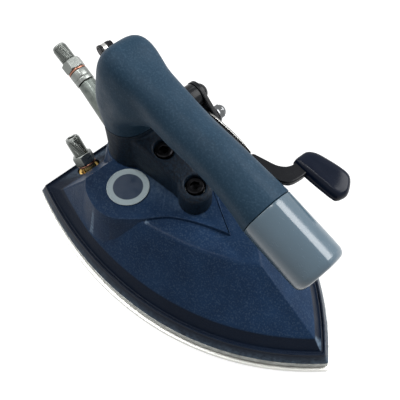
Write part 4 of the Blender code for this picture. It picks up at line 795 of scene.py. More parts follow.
@dataclass(frozen=True)
class MachinedMetal(Finish):
    """Turned, milled or plated metal with tool marks, stains and bright edges."""

    colour: Colour
    stain: Colour
    bright: Colour
    roughness: float = 0.3
    marks: Vector = Vector((1.0, 1.0, 8.0))
    marks_scale: float = 260.0
    stained: float = 0.5
    depth: float = 0.02

    def paint(self, nodes: MaterialNodes) -> None:
        """Draw stretched tool marks, patches of stain and bright edges."""
        patches = nodes.mapped(nodes.noise(130.0, detail=5.0), 0.0, self.stained, 0.42, 0.68)
        body = nodes.mixed(patches, self.colour, self.stain)
        nodes.drive("Base Color", nodes.mixed(nodes.worn_and_lit_edges(0.52, 0.62, 0.7), body, self.bright))
        nodes.set("Metallic", 1.0)
        lines = nodes.noise(self.marks_scale, detail=6.0, roughness=0.65, stretch=self.marks)
        nodes.uneven_gloss(lines, self.roughness, 0.07, 0.13)
        nodes.bump(lines, self.depth, strength=0.35)


@dataclass(frozen=True)
class CastMetal(Finish):
    """Sand-cast metal with a coarse skin."""

    colour: Colour
    shade: Colour
    roughness: float = 0.45
    depth: float = 0.12

    def paint(self, nodes: MaterialNodes) -> None:
        """Raise a sandy skin with dull hollows."""
        skin = nodes.noise(900.0, detail=5.0, roughness=0.6)
        body = nodes.mottled(nodes.noise(220.0, detail=5.0), self.shade, self.colour)
        nodes.drive("Base Color", body)
        nodes.set("Metallic", 1.0)
        nodes.uneven_gloss(skin, self.roughness, 0.1, 0.12)
        nodes.bump(skin, self.depth, strength=0.5)


@dataclass(frozen=True)
class FibreSheet(Finish):
    """Felt, packing and gasket sheet."""

    colour: Colour
    shade: Colour
    roughness: float
    fibre: float = 1800.0

    def paint(self, nodes: MaterialNodes) -> None:
        """Mat the fibres."""
        strands = nodes.noise(self.fibre, detail=5.0, roughness=0.7, stretch=flat(1.0, 0.35, 1.0))
        nodes.drive("Base Color", nodes.mottled(strands, self.shade, self.colour))
        nodes.uneven_gloss(strands, self.roughness, 0.08, 0.06)
        nodes.set("Specular IOR Level", 0.25)
        nodes.bump(strands, 0.15, strength=0.6)


@dataclass(frozen=True)
class PrintedDisc(Finish):
    """Badge: satin light ring round a plain dark middle."""

    light: Colour
    dark: Colour
    centre: Vector
    field_radius: float
    print_edge: float = 0.15

    def paint(self, nodes: MaterialNodes) -> None:
        """Print the middle by its distance from the badge's centre."""
        mapping = nodes.node("Mapping", Location=-self.centre * MILLIMETRE, Scale=flat(1.0, 1.0))
        nodes.link(nodes.place, mapping.inputs["Vector"])
        length = nodes.node("VectorMath")
        length.operation = "LENGTH"
        nodes.link(mapping.outputs["Vector"], length.inputs[0])
        edge = self.print_edge * MILLIMETRE
        radius = self.field_radius * MILLIMETRE
        share = nodes.mapped(length.outputs["Value"], 0.0, 1.0, radius - edge, radius + edge)
        body = nodes.mixed(share, self.dark, self.light)
        speck = nodes.mapped(nodes.noise(600.0, detail=5.0), 0.0, 0.12, 0.55, 0.75)
        nodes.drive("Base Color", nodes.mixed(speck, body, self.dark))
        nodes.drive("Roughness", nodes.mapped(nodes.noise(300.0), 0.28, 0.42))
        nodes.bump(nodes.noise(500.0, detail=2.0), 0.03, strength=0.15)


class Finishes:
    """Every finish of the iron, by the record's material slot."""

    def __init__(self) -> None:
        """Make each material once."""
        along = Vector((0.3, 4.0, 4.0))
        self.materials = {finish.name: finish.material() for finish in (
            MachinedMetal("sole_metal", (204, 204, 199), (184, 182, 176), (226, 226, 222), 0.36,
                          marks=along, marks_scale=160.0, stained=0.06, depth=0.003),
            FibreSheet("gasket", (44, 42, 40), (28, 27, 26), 0.7),
            MachinedMetal("screw_steel", (164, 164, 162), (96, 92, 86), (220, 220, 216)),
            CastMetal("cast_body", (150, 152, 148), (104, 106, 104)),
            FibreSheet("felt", (190, 184, 168), (150, 142, 124), 0.92, fibre=1200.0),
            # Cover: the light rubbed colour with wear share 0.7 paints highlight on its edges;
            # rim_height paints shade on the rim and band below 24.6 mm.
            MouldedPlastic("cover_plastic", (28, 50, 78), (20, 39, 64), (120, 142, 164), 0.34,
                           depth=0.16, gloss=0.07, wear_and_highlight=0.7, speck=0.09, rim_height=0.0246),
            PrintedDisc("badge", (150, 165, 170), (28, 46, 68), BADGE_PLACE, 8.8),
            WrinklePaint("bracket_paint", (18, 34, 48), (8, 16, 26)),
            MachinedMetal("black_bolt", (20, 20, 22), (11, 11, 12), (60, 60, 63), 0.32,
                          stained=0.6),
            MouldedPlastic("grip_rubber", (32, 54, 71), (27, 48, 64), (62, 84, 102), 0.5,
                           depth=0.16, gloss=0.12, speck=0.3),
            GlossPlastic("cap_plastic", (71, 92, 106), (66, 86, 99)),
            MachinedMetal("valve_brass", (196, 164, 100), (138, 108, 62), (236, 212, 150), 0.26,
                          stained=0.3),
            MouldedPlastic("black_metal", (17, 19, 23), (11, 12, 15), (84, 86, 88), 0.26,
                           depth=0.05, gloss=0.15, wear_and_highlight=0.4),
            MachinedMetal("copper_ring", (146, 104, 88), (104, 70, 56), (164, 124, 106),
                          stained=0.4),
            CastMetal("valve_casting", (116, 122, 118), (84, 90, 87), 0.36),
            MachinedMetal("plated_steel", (128, 132, 129), (90, 89, 85), (168, 170, 167),
                          stained=0.12, depth=0.008),
            MachinedMetal("bright_strip", (150, 150, 148), (110, 108, 104), (200, 200, 198), 0.2,
                          marks=along, stained=0.3),
            GlossPlastic("pad_plastic", (11, 19, 35), (8, 15, 29), gloss=0.1, coat=0.04),
            MachinedMetal("chrome_nut", (108, 110, 112), (72, 72, 74), (160, 160, 160), 0.16,
                          stained=0.3),
        )}

    def dress(self, item: Item, slot: str) -> None:
        """Give an object the finish of one material slot."""
        item.data.materials.clear()
        item.data.materials.append(self.materials[slot])

    def dress_carried(self) -> None:
        """Give every CAD node the finish of its own material slot."""
        for part in frame["record"]["subparts"]:
            node = frame["nodes"].get(part["node"])
            if node is None:
                continue
            for slot in node.material_slots:
                slot.material = self.materials[part["material_slot"]]


@dataclass
class Assembly:
    """One sub-assembly of the iron and the finishes that it is dressed with."""

    finishes: Finishes

    def finish(self, piece: Shape | Item, node: str, slot: str, body: Body = Body.IRON,
               shading: Shading = Shading.MADE, also: Sequence[str] = ()) -> Item:
        """Turn a shape into a finished piece that stands for its CAD node.

        Args:
            piece: shape in millimetres, or an object that is already made.
            node: CAD node that it replaces.
            slot: material slot that it takes its finish from.
            body: body that it rides on.
            shading: which edges stay sharp.
            also: further CAD nodes that it replaces.

        Returns:
            The finished object.
        """
        item = as_object(piece, node + "_piece") if isinstance(piece, Shape) else piece
        item.data.shade_smooth()
        item.data.set_sharp_from_angle(angle=math.radians(shading.value))
        self.finishes.dress(item, slot)
        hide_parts(node, *also)
        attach(item, body.value)
        LOG.info("%s: %d faces on %s", item.name, len(item.data.polygons), body.value)
        return item


# ---- sole and cover

@dataclass
class BoatOutline:
    """Plan of the sole: straight heel, bowed sides, pointed toe."""

    length: float = 207.0
    half_width: float = 64.8
    steps: int = 72
    side: Pairs = ((0.0, 0.867), (0.107, 0.952), (0.650, 1.392), (1.0, 0.0))

    def edge_place(self, share: float, inset: float) -> Vector:
        """Place on the left edge, moved in, with X from the heel."""
        controls = [flat(x * self.length, y * self.half_width) for x, y in self.side]
        point, heading = bezier(controls, share)
        return point + flat(heading.y, -heading.x) * inset

    def ring(self, inset: float, height: float, heel_inset: Optional[float] = None,
             corner: float = 2.0) -> Points:
        """Closed outline moved in from the edge.

        Args:
            inset: distance from the sides.
            height: height of the ring.
            heel_inset: distance from the heel, the same where it isn't given.
            corner: rounding of the heel's corners and the toe.

        Returns:
            The ring's points, always equally many.
        """
        heel = inset if heel_inset is None else heel_inset
        start = crossing(lambda share: self.edge_place(share, inset).x - heel, 0.0, 0.5)
        stop = crossing(lambda share: -self.edge_place(share, inset).y, 0.5, 1.0)
        half = [self.edge_place(start + (stop - start) * index / self.steps, inset)
                for index in range(self.steps)]
        half.append(flat(self.edge_place(stop, inset).x, 0.0))
        return mirrored_ring(half, heel, self.length / 2, height, corner)


def crossing(function: Callable[[float], float], low: float, high: float) -> float:
    """Value at which a rising function crosses zero, found by halving."""
    for _ in range(40):
        middle = (low + high) / 2
        if function(middle) < 0:
            low = middle
        else:
            high = middle
    return (low + high) / 2


def mirrored_ring(half: Points, heel: float, middle: float, height: float, corner: float) -> Points:
    """Close a left half outline with its mirror image.

    Args:
        half: from the heel's left corner to the toe, measured from the heel.
        heel: where the heel's line is.
        middle: distance from the heel to the frame's origin.
        height: height of the ring.
        corner: rounding of the heel's corners and the toe.

    Returns:
        The ring in the frame's own place.
    """
    right = [flat(place.x, -place.y) for place in reversed(half[:-1])]
    path = [flat(heel, 0.0)] + half + right
    radii = [0.0] * len(path)
    radii[1] = corner
    radii[len(half)] = corner / 2
    radii[-1] = corner
    path = rounded(path, radii, 4, closed=True)
    return [flat(place.x - middle, place.y, height) for place in path]


@dataclass
class Sole(Assembly):
    """Sole plate and the steam body on it."""

    outline: BoatOutline
    thickness: float = 4.0
    edge: float = 0.6
    hole_radius: float = 1.5
    hole_chamfer: float = 0.5
    outer_inset: float = 23.0
    inner_inset: float = 38.0
    outer_shares: Row = (0.10, 0.22, 0.34, 0.46, 0.58, 0.70, 0.82)
    inner_shares: Row = (0.12, 0.28, 0.44, 0.60, 0.76)
    body_inset: float = 1.5
    body_edge: float = 0.4
    body_floor: float = 5.2
    body_top: float = 10.4
    chamber_depth: float = 3.2
    chamber_inset: float = 19.0
    chamber_heel_inset: float = 8.0
    rib_places: Row = (-45.5, -8.3, 29.0)
    rib_root: float = 15.0
    rib_stop: float = 19.4
    rib_half: float = 1.5
    boss_root: float = 1.6
    boss_top: float = 14.2
    valve_boss_radius: float = 9.0
    outlet_boss_straight: float = 3.0
    outlet_boss_radius: float = 4.5
    post_top: float = 47.7
    post_radius: float = 7.0
    valve_port: Row = (6.8, 17.0, 3.0)
    valve_socket: Row = (10.7, 17.0, 5.8)
    outlet_port: Row = (6.8, 17.0, 2.6)
    outlet_port_offset: float = 1.2
    bolt_hole: Row = (10.7, 50.0, BOLT_HOLE)
    screw_hole: Row = (4.0, 12.0, 2.3)
    screw_inset: float = 14.0
    screw_shares: Row = (0.10, 0.36, 0.62, 0.86)

    def slab(self, inset: float, draw: float, low: float, high: float,
             edges: tuple[float, float]) -> Shape:
        """Flat slab in the sole's plan, with rounded rims.

        Args:
            inset: how far it is moved in from the sole's edge.
            draw: how far inside its rim its flat faces start.
            low: height of its underside.
            high: height of its top.
            edges: rounding of its lower and of its upper rim.

        Returns:
            The closed slab.
        """
        ring = self.outline.ring
        rings = [ring(inset + draw, low), ring(inset, low), ring(inset, high),
                 ring(inset + draw, high)]
        return loft(profiled(rings, (0.0, *edges, 0.0), 3))

    def make_plate(self) -> None:
        """Plate with rounded edges and countersunk steam holes."""
        slab = self.slab(0.0, self.edge * 2, 0.0, self.thickness, (self.edge, self.edge / 2))
        item = as_object(slab, "sole_plate_piece")
        below, above = -1.0, self.thickness + 1
        mouth = self.hole_radius + self.hole_chamfer
        profile = [(0.0, below), (mouth - below, below), (mouth, 0.0),
                   (self.hole_radius, self.hole_chamfer), (self.hole_radius, above), (0.0, above)]
        places = self.both_sides(self.outer_inset, self.outer_shares)
        places += self.both_sides(self.inner_inset, self.inner_shares)
        holes = joined([spun(profile, place, UP, steps=24) for place in places])
        combined(item, [holes], "DIFFERENCE")
        self.finish(item, "sole_plate", "sole_metal")

    def both_sides(self, inset: float, shares: Sequence[float]) -> Points:
        """Places along a line moved in from the edge, left and right of the middle."""
        half = [self.outline.edge_place(share, inset) for share in shares]
        return [flat(place.x - self.outline.length / 2, side * place.y) for place in half
                for side in (1, -1)]

    def bosses(self) -> list[Shape]:
        """Bosses of the valve and the outlet, and posts of the bolts."""
        foot = self.body_top - self.boss_root
        outline = oblong(OUTLET_PLACE, self.outlet_boss_straight, self.outlet_boss_radius, 16)

        def boss(place: Vector, radius: float, top: float) -> Shape:
            """Round boss with a softened rim."""
            return spun([(0.0, foot), (radius, foot), (radius, top), (0.0, top)], place, UP, 0.4)

        return [boss(VALVE_PLACE, self.valve_boss_radius, self.boss_top),
                plate([at_height(outline, foot)], self.boss_top - foot, 0.0),
                *[boss(flat(x, 0.0), self.post_radius, self.post_top) for x in BOLT_PLACES]]

    def ribs(self) -> list[Shape]:
        """Ribs that lead the steam from side to side."""
        roof = self.body_floor + self.chamber_depth + 0.5
        roots = self.outline.ring(self.rib_root, 0.0, self.chamber_heel_inset)
        blocks = []
        for index, x in enumerate(self.rib_places):
            side = 1 if index % 2 else -1
            reach = max(place.y for place in roots if abs(place.x - x) < 4)
            low, high = sorted((side * reach, -side * self.rib_stop))
            blocks.append(block(Vector((x - self.rib_half, low, self.body_floor)),
                                Vector((x + self.rib_half, high, roof))))
        return blocks

    def drillings(self) -> list[Shape]:
        """Rods for the ports, the valve's socket, the bolts and the sole's screws."""
        outlet = OUTLET_PLACE + flat(self.outlet_port_offset, 0.0)
        holes = [(VALVE_PLACE, self.valve_port), (VALVE_PLACE, self.valve_socket),
                 (outlet, self.outlet_port)]
        holes += [(flat(x, 0.0), self.bolt_hole) for x in BOLT_PLACES]
        holes += [(place, self.screw_hole)
                  for place in self.both_sides(self.screw_inset, self.screw_shares)]
        return [rod(place + UP * low, place + UP * high, radius)
                for place, (low, high, radius) in holes]

    def make_body(self) -> None:
        """Steam body: flange, bosses and posts above, chamber and ribs below."""
        flange = self.slab(self.body_inset, 2.0, self.body_floor, self.body_top,
                           (self.body_edge, self.body_edge))
        item = as_object(flange, "steam_body_piece")
        combined(item, self.bosses(), "UNION")
        heights = (self.body_floor - 1, self.body_floor + self.chamber_depth)
        chamber = loft([self.outline.ring(self.chamber_inset, height, self.chamber_heel_inset)
                        for height in heights])
        combined(item, [chamber], "DIFFERENCE")
        combined(item, self.ribs(), "UNION")
        combined(item, self.drillings(), "DIFFERENCE")
        self.finish(item, "steam_body", "cast_body")


@dataclass
class Cover(Assembly):
    """Moulded cover: rim with its bead, band, ramp, leaf-shaped deck and tongue."""

    outline: BoatOutline
    floor: float = 10.7
    rim_top: float = 16.9
    deck_top: float = 48.7
    tongue_top: float = 50.5
    wall: float = 2.5
    rim_foot_inset: float = 1.9
    rim_top_inset: float = 4.8
    bead_height: float = 0.6
    bead_width: float = 1.1
    ledge_inset: float = 7.1
    band_inset: float = 12.0
    band_heel_inset: float = 17.0
    band_rise: float = 8.0
    band_heel_rise: float = 4.4
    band_blend: float = 40.0
    deck_heel: float = 39.0
    deck_length: float = 108.8
    deck_half_width: float = 38.0
    deck_side: Pairs = ((0.0, 1.0), (0.285, 1.0), (0.735, 0.632), (1.0, 0.0))
    draft: float = math.tan(math.radians(15))
    skirt: float = 32.5
    tongue_heel: float = 39.6
    tongue_half: Pairs = (
        (39.6, 37.9), (46.1, 42.2), (53.0, 44.4), (60.0, 45.4), (66.6, 44.3), (72.2, 41.4),
        (77.0, 37.0), (82.4, 31.0), (87.5, 23.6), (93.5, 16.6), (106.7, 7.8), (123.0, 0.0))
    tongue_edge: float = 0.5
    tongue_inset: float = 0.6
    neck_x: float = -63.0
    seat_radius: float = 18.0
    seat_edge: float = 0.7
    seat_sink: float = 0.05
    valve_radius: float = 10.5
    slot_length: float = 16.0
    slot_width: float = 10.0
    slot_rise: float = 30.0
    post_floor: float = 20.0
    post_radius: float = 7.3
    bolt_hole_floor: float = 40.0
    bolt_hole_top: float = 55.0

    def band_ring(self, wall: float) -> Points:
        """Top edge of the band, lower at the heel than at the sides."""
        ring = self.outline.ring(self.band_inset + wall, 0.0, self.band_heel_inset + wall)
        start = self.band_heel_inset - self.outline.length / 2
        climb = self.band_rise - self.band_heel_rise
        for place in ring:
            share = min(1.0, max(0.0, (place.x - start) / self.band_blend))
            place.z = self.rim_top - wall + self.band_heel_rise + climb * share
        return ring

    def deck_ring(self, inset: float, height: float) -> Points:
        """Leaf-shaped edge of the deck, moved in."""
        controls = [flat(self.deck_heel + x * self.deck_length, y * self.deck_half_width)
                    for x, y in self.deck_side]

        def side(share: float) -> Vector:
            """Point of the left side."""
            point, heading = bezier(controls, share)
            return point + flat(heading.y, -heading.x) * inset

        stop = crossing(lambda share: -side(share).y, 0.5, 1.0) if inset else 1.0
        steps = self.outline.steps
        half = [side(stop * index / steps) for index in range(steps)]
        half[0].x += inset
        half.append(flat(side(stop).x, 0.0))
        return mirrored_ring(half, self.deck_heel + inset, self.outline.length / 2, height, 2.0)

    def tray(self) -> Shape:
        """Outer form without the tongue, from the rim's foot up to the deck."""
        ring = self.outline.ring
        bead_top = self.rim_top + self.bead_height
        inner = self.rim_top_inset + self.bead_width
        rows = ((ring(self.rim_foot_inset, self.floor), 0.0),
                (ring(self.rim_top_inset - 0.2, self.rim_top - 0.3), 0.3),
                (ring(self.rim_top_inset, bead_top), 0.4),
                (ring(inner, bead_top), 0.4),
                (ring(inner + 0.2, self.rim_top), 0.3),
                (ring(self.ledge_inset, self.rim_top + 0.1), 0.5),
                (self.band_ring(0.0), 1.2),
                (self.deck_ring(0.0, self.deck_top), 2.2),
                (self.deck_ring(4.0, self.deck_top), 0.0))
        return loft(profiled([row for row, _ in rows], [radius for _, radius in rows]))

    def hollow(self) -> Shape:
        """Room under the shell."""
        ring = self.outline.ring
        wall = self.wall
        ceiling = self.rim_top - wall
        return loft([ring(self.rim_foot_inset + wall, self.floor - 1),
                     ring(self.rim_top_inset + wall + 1, ceiling),
                     ring(self.ledge_inset + wall + 1, ceiling), self.band_ring(wall + 2),
                     self.deck_ring(wall + 5, self.deck_top - wall - 2)])

    def tongue_ring(self, spread: float, height: float) -> Points:
        """Edge of the tongue at one height, spread outwards."""
        half = smooth_path([flat(x, y) for x, y in self.tongue_half], 8)
        path = mirrored_ring(half, self.tongue_heel, self.outline.length / 2, height, 1.5)
        return at_height(moved_out(path, spread), height)

    def tongue(self) -> Shape:
        """Tongue that carries the handle and the badge, drafted on its way down."""
        foot = self.tongue_top - self.skirt
        base = [self.tongue_ring(self.skirt * self.draft, foot),
                self.tongue_ring(0.0, self.tongue_top),
                self.tongue_ring(-self.tongue_inset, self.tongue_top)]
        return loft(profiled(base, (0.0, self.tongue_edge, 0.0)))

    def seat(self) -> Shape:
        """Round seat under the handle's neck, a hair below the tongue's face."""
        foot = self.tongue_top - self.skirt
        top = self.tongue_top - self.seat_sink
        return spun([(0.0, foot), (self.seat_radius + self.skirt * self.draft, foot),
                     (self.seat_radius, top), (0.0, top)],
                    flat(self.neck_x, 0.0), UP, bevel=self.seat_edge, steps=96)

    def openings(self) -> list[Shape]:
        """Shapes cut for the valve, the outlet and the handle's bolts."""
        top = UP * (self.tongue_top + 2)
        bottom = UP * self.floor
        ceiling = self.tongue_top - self.wall
        cutters = [rod(VALVE_PLACE + bottom, VALVE_PLACE + top, self.valve_radius, sides=96)]
        cutters += [rod(flat(x, 0.0, self.post_floor), flat(x, 0.0, ceiling), self.post_radius)
                    for x in BOLT_PLACES]
        cutters += [rod(flat(x, 0.0, self.bolt_hole_floor), flat(x, 0.0, self.bolt_hole_top),
                        BOLT_HOLE, sides=32) for x in BOLT_PLACES]
        straight = (self.slot_length - self.slot_width) / 2
        slot = oblong(OUTLET_PLACE, straight, self.slot_width / 2, 16)
        cutters.append(plate([at_height(slot, self.floor)], self.slot_rise, 0.0))
        return cutters

    def make_shell(self) -> None:
        """Whole cover with its openings."""
        item = as_object(self.tray(), "cover_piece")
        combined(item, [self.tongue(), self.seat()], "UNION")
        combined(item, [self.hollow()], "DIFFERENCE")
        combined(item, self.openings(), "DIFFERENCE")
        self.finish(item, "cover", "cover_plastic")


@dataclass
class Badge(Assembly):
    """Plain round badge on the tongue."""

    radius: float = 12.5
    floor: float = 50.8
    thickness: float = 0.5
    rim_width: float = 0.7
    rim_foot: float = 0.9
    rim_height: float = 0.12

    def make_disc(self) -> None:
        """Disc with a raised rim line."""
        top = self.thickness
        field = top - self.rim_height
        disc = spun([(0.0, 0.0), (self.radius, 0.0), (self.radius, top),
                     (self.radius - self.rim_width, top), (self.radius - self.rim_foot, field),
                     (0.0, field)],
                    BADGE_PLACE + UP * self.floor, UP, bevel=self.rim_height, steps=128)
        self.finish(disc, "label_disc", "badge")


# ---- handle

@dataclass
class Handle(Assembly):
    """Bracket, its two bolts, the grip and its end cap."""

    root: Vector = Vector((-63.0, 0.0, 50.8))
    reach: float = 138.8
    rise: float = 82.2
    half_width: float = 17.6
    seam_gap: float = 0.3
    sides: int = 96
    neck_radius: float = 16.5
    sections: tuple[tuple[float, float, float, float, float, float], ...] = (
        (-0.117, 0.258, 0.119, 0.367, 0.90, 2.30),
        (-0.117, 0.404, 0.126, 0.459, 0.93, 2.50),
        (-0.104, 0.562, 0.148, 0.532, 0.98, 2.74),
        (-0.076, 0.745, 0.173, 0.574, 0.97, 2.94),
        (-0.036, 0.935, 0.195, 0.601, 0.93, 3.17),
        (0.029, 1.020, 0.216, 0.617, 0.81, 3.45),
        (0.137, 0.974, 0.245, 0.623, 0.69, 2.86),
        (0.249, 0.937, 0.281, 0.614, 0.67, 2.50),
        (0.342, 0.900, 0.331, 0.596, 0.67, 2.35),
        (0.429, 0.882, 0.411, 0.585, 0.65, 2.30),
        (0.515, 0.869, 0.494, 0.579, 0.65, 2.30),
        (0.616, 0.842, 0.584, 0.555, 0.68, 2.30),
        (0.702, 0.810, 0.666, 0.513, 0.73, 2.30),
        (0.764, 0.788, 0.720, 0.467, 0.784, 2.30),
    )
    crests: Row = (
        2.2, 2.4, 2.7, 2.9, 3.1, 3.2, 2.5, 2.15, 2.0, 1.9, 1.85, 1.8, 1.75, 1.7)
    grip_edge: float = 0.5
    cap_edge: float = 0.4
    cap_crest: float = 1.6
    cap_length: float = 36.8
    cap_profile: Pairs = (
        (0.0, 1.0), (0.45, 0.998), (0.85, 0.99), (0.93, 0.965), (0.975, 0.90), (0.995, 0.80),
        (1.0, 0.66))
    neck_steps: int = 12
    neck_flare: float = 0.9
    foot_height: float = 30.5
    foot_tip_height: float = 16.2
    foot_half_width: float = 13.9
    foot_boss_radius: float = 9.7
    foot_side: Pairs = (
        (0.205, 0.84), (0.36, 0.71), (0.52, 0.62), (0.66, 0.55), (0.78, 0.49))
    foot_rim: Pairs = ((0.0, 1.6), (0.5, 0.5), (1.6, 0.0))
    recess_depth: float = 6.8
    recess_radius: float = 5.9
    washer_room: float = 1.6
    shank_radius: float = 3.0
    shank_length: float = 35.0
    head_radius: float = 5.0
    head_height: float = 5.0
    head_chamfer: float = 0.6
    head_foot_edge: float = 0.2
    socket_half: float = 2.5
    socket_depth: float = 3.0
    socket_chamfer: float = 0.25
    socket_cone_radius: float = 1.2
    socket_cone_depth: float = 0.5

    def place(self, x_share: float, z_share: float) -> Vector:
        """Point in the handle's middle plane."""
        return self.root + flat(x_share * self.reach, 0.0, z_share * self.rise)

    def section(self, outer: Vector, inner: Vector, half_width: float, crest: float,
                body: float = 2.3) -> Points:
        """Ring round the handle.

        Args:
            outer: its outermost point.
            inner: the point opposite.
            half_width: half its width.
            crest: roundness of the outer side, lower for a sharper crest.
            body: roundness of the inner side.

        Returns:
            The ring's points.
        """
        centre = (outer + inner) / 2
        arm = (outer - inner) / 2
        ring: Points = []
        for index in range(self.sides):
            turn = 2 * math.pi * index / self.sides
            rise, side = math.cos(turn), math.sin(turn)
            share = max(0.0, rise) ** 1.5
            power = 2 / (body + (crest - body) * share)
            ring.append(centre + arm * math.copysign(abs(rise) ** power, rise)
                        + LEFT * half_width * math.copysign(abs(side) ** power, side))
        return ring

    def grip_section(self, index: int) -> tuple[Vector, Vector, float]:
        """Outer point, inner point and half width of a section."""
        outer_x, outer_z, inner_x, inner_z, width, _ = self.sections[index]
        return self.place(outer_x, outer_z), self.place(inner_x, inner_z), width * self.half_width

    def square_to(self, index: int) -> Vector:
        """Direction along the handle at a section."""
        outer, inner, _ = self.grip_section(index)
        return (inner - outer).cross(LEFT).normalized()

    def make_grip(self) -> None:
        """Grip from its seam on the neck to the cap's joint."""
        last = len(self.sections) - 1
        places = [self.grip_section(index) for index in range(last + 1)]
        outers = smooth_path([outer for outer, _, _ in places], 8)
        inners = smooth_path([inner for _, inner, _ in places], 8)
        forms = smooth_path([flat(place[2], section[5], crest) for place, section, crest
                             in zip(places, self.sections, self.crests)], 8)
        rings = [self.section(outer, inner, form.x, form.z, form.y)
                 for outer, inner, form in zip(outers, inners, forms)]
        rings = self.eased_end(rings, self.square_to(0), self.grip_edge)
        rings = self.eased_end(rings[::-1], -self.square_to(last), self.grip_edge)
        self.finish(loft(rings), "handle_grip", "grip_rubber", shading=Shading.ROUND)

    @staticmethod
    def eased_end(rings: list[Points], inward: Vector, edge: float) -> list[Points]:
        """Round the rim where the first ring ends a piece.

        Args:
            rings: rings from that end on.
            inward: direction into the piece.
            edge: rounding of the rim.

        Returns:
            The rings with a few more at the end.
        """
        end = rings[0]
        centre = sum(end, Vector()) / len(end)
        result = []
        for turn in (0.0, 30.0, 60.0):
            draw = edge * (1 - math.sin(math.radians(turn)))
            lift = edge * (1 - math.cos(math.radians(turn)))
            result.append([place - (place - centre).normalized() * draw + inward * lift
                           for place in end])
        result.append([place + inward * edge for place in end])
        return result + rings[1:]

    def make_cap(self) -> None:
        """Glossy end cap with its crest."""
        last = len(self.sections) - 1
        outer, inner, half_width = self.grip_section(last)
        middle = (outer + inner) / 2
        direction = self.square_to(last)
        rings = []
        for step in smooth_path([flat(along, size) for along, size in self.cap_profile], 5):
            ring = self.section(middle + (outer - middle) * step.y,
                                middle + (inner - middle) * step.y,
                                half_width * step.y, self.cap_crest)
            shift = direction * (self.seam_gap + step.x * self.cap_length)
            rings.append([place + shift for place in ring])
        rings = self.eased_end(rings, direction, self.cap_edge)
        self.finish(loft(rings), "grip_end_cap", "cap_plastic", shading=Shading.ROUND)

    def foot_top(self, x: float) -> float:
        """Height of the foot's sloping top."""
        share = (x - self.root.x) / (BOLT_PLACES[1] - self.root.x)
        return self.root.z + self.foot_height + (self.foot_tip_height - self.foot_height) * share

    def foot_ring(self, inset: float, drop: Optional[float]) -> Points:
        """Ring of the foot.

        Args:
            inset: how far it is moved in.
            drop: how far it lies below the foot's top, or None for the floor.

        Returns:
            The ring.
        """
        boss = BOLT_PLACES[1]
        span = boss - self.root.x
        half = smooth_path([flat(self.root.x + x * span, y * self.foot_half_width)
                            for x, y in self.foot_side], 4)
        half += arc(flat(boss, 0.0), self.foot_boss_radius, 135, 0, 16)
        right = [flat(place.x, -place.y) for place in reversed(half[:-1])]
        path = moved_out([flat(half[0].x, 0.0)] + half + right, -inset)
        if drop is None:
            return at_height(path, self.root.z)
        return [flat(place.x, place.y, self.foot_top(place.x) - drop) for place in path]

    def neck(self) -> Shape:
        """Neck, round at its foot and turned into the grip's first section."""
        outer, inner, half_width = self.grip_section(0)
        base_outer = flat(self.root.x - self.neck_radius, 0.0, self.root.z)
        base_inner = flat(self.root.x + self.neck_radius, 0.0, self.root.z)
        seam = self.square_to(0) * -self.seam_gap
        rings = []
        for step in range(self.neck_steps + 1):
            share = step / self.neck_steps
            ease = share * share * (3 - 2 * share)
            flare = self.neck_flare * (1 - share) ** 6
            low = base_outer.lerp(outer + seam, share)
            high = base_inner.lerp(inner + seam, share)
            spread = (high - low).normalized() * flare
            width = self.neck_radius + (half_width - self.neck_radius) * ease + flare
            rings.append(self.section(low - spread, high + spread, width,
                                      2.0 + 0.2 * ease, 2.0 + 0.3 * ease))
        return loft(rings)

    def make_bracket(self) -> None:
        """Cast neck and foot with the bolts' recesses."""
        item = as_object(self.neck(), "handle_bracket_piece")
        foot = loft([self.foot_ring(0.0, None)]
                    + [self.foot_ring(inset, drop) for inset, drop in self.foot_rim])
        combined(item, [foot], "UNION")
        recesses = []
        for x in BOLT_PLACES:
            bottom = self.foot_top(x) - self.recess_depth
            recesses += [rod(flat(x, 0.0, bottom), flat(x, 0.0, bottom + 30), self.recess_radius),
                         rod(flat(x, 0.0, self.root.z - 1), flat(x, 0.0, bottom + 1), BOLT_HOLE)]
        combined(item, recesses, "DIFFERENCE")
        softened(item, 0.5, 3)
        self.finish(item, "handle_bracket", "bracket_paint", shading=Shading.ROUND)

    def make_bolts(self) -> None:
        """Socket head bolts with chamfered heads and hexagonal sockets."""
        head, half = self.head_radius, self.socket_half
        top = self.head_height
        floor = top - self.socket_depth
        rows = ((self.shank_radius, -self.shank_length),
                (self.shank_radius, 0.0),
                (head - self.head_foot_edge, 0.0),
                (head, self.head_foot_edge),
                (head, top - self.head_chamfer),
                (head - self.head_chamfer, top),
                (hexagon(half + self.socket_chamfer), top),
                (hexagon(half), top - self.socket_chamfer),
                (hexagon(half), floor),
                (self.socket_cone_radius, floor - self.socket_cone_depth))
        for number, x in enumerate(BOLT_PLACES, 1):
            base = flat(x, 0.0, self.foot_top(x) - self.recess_depth + self.washer_room)
            rings = [[base + place for place in ring_around(height, reach, self.sides)]
                     for reach, height in rows]
            self.finish(loft(rings), f"handle_bolt_{number}", "black_bolt")


# ---- lever

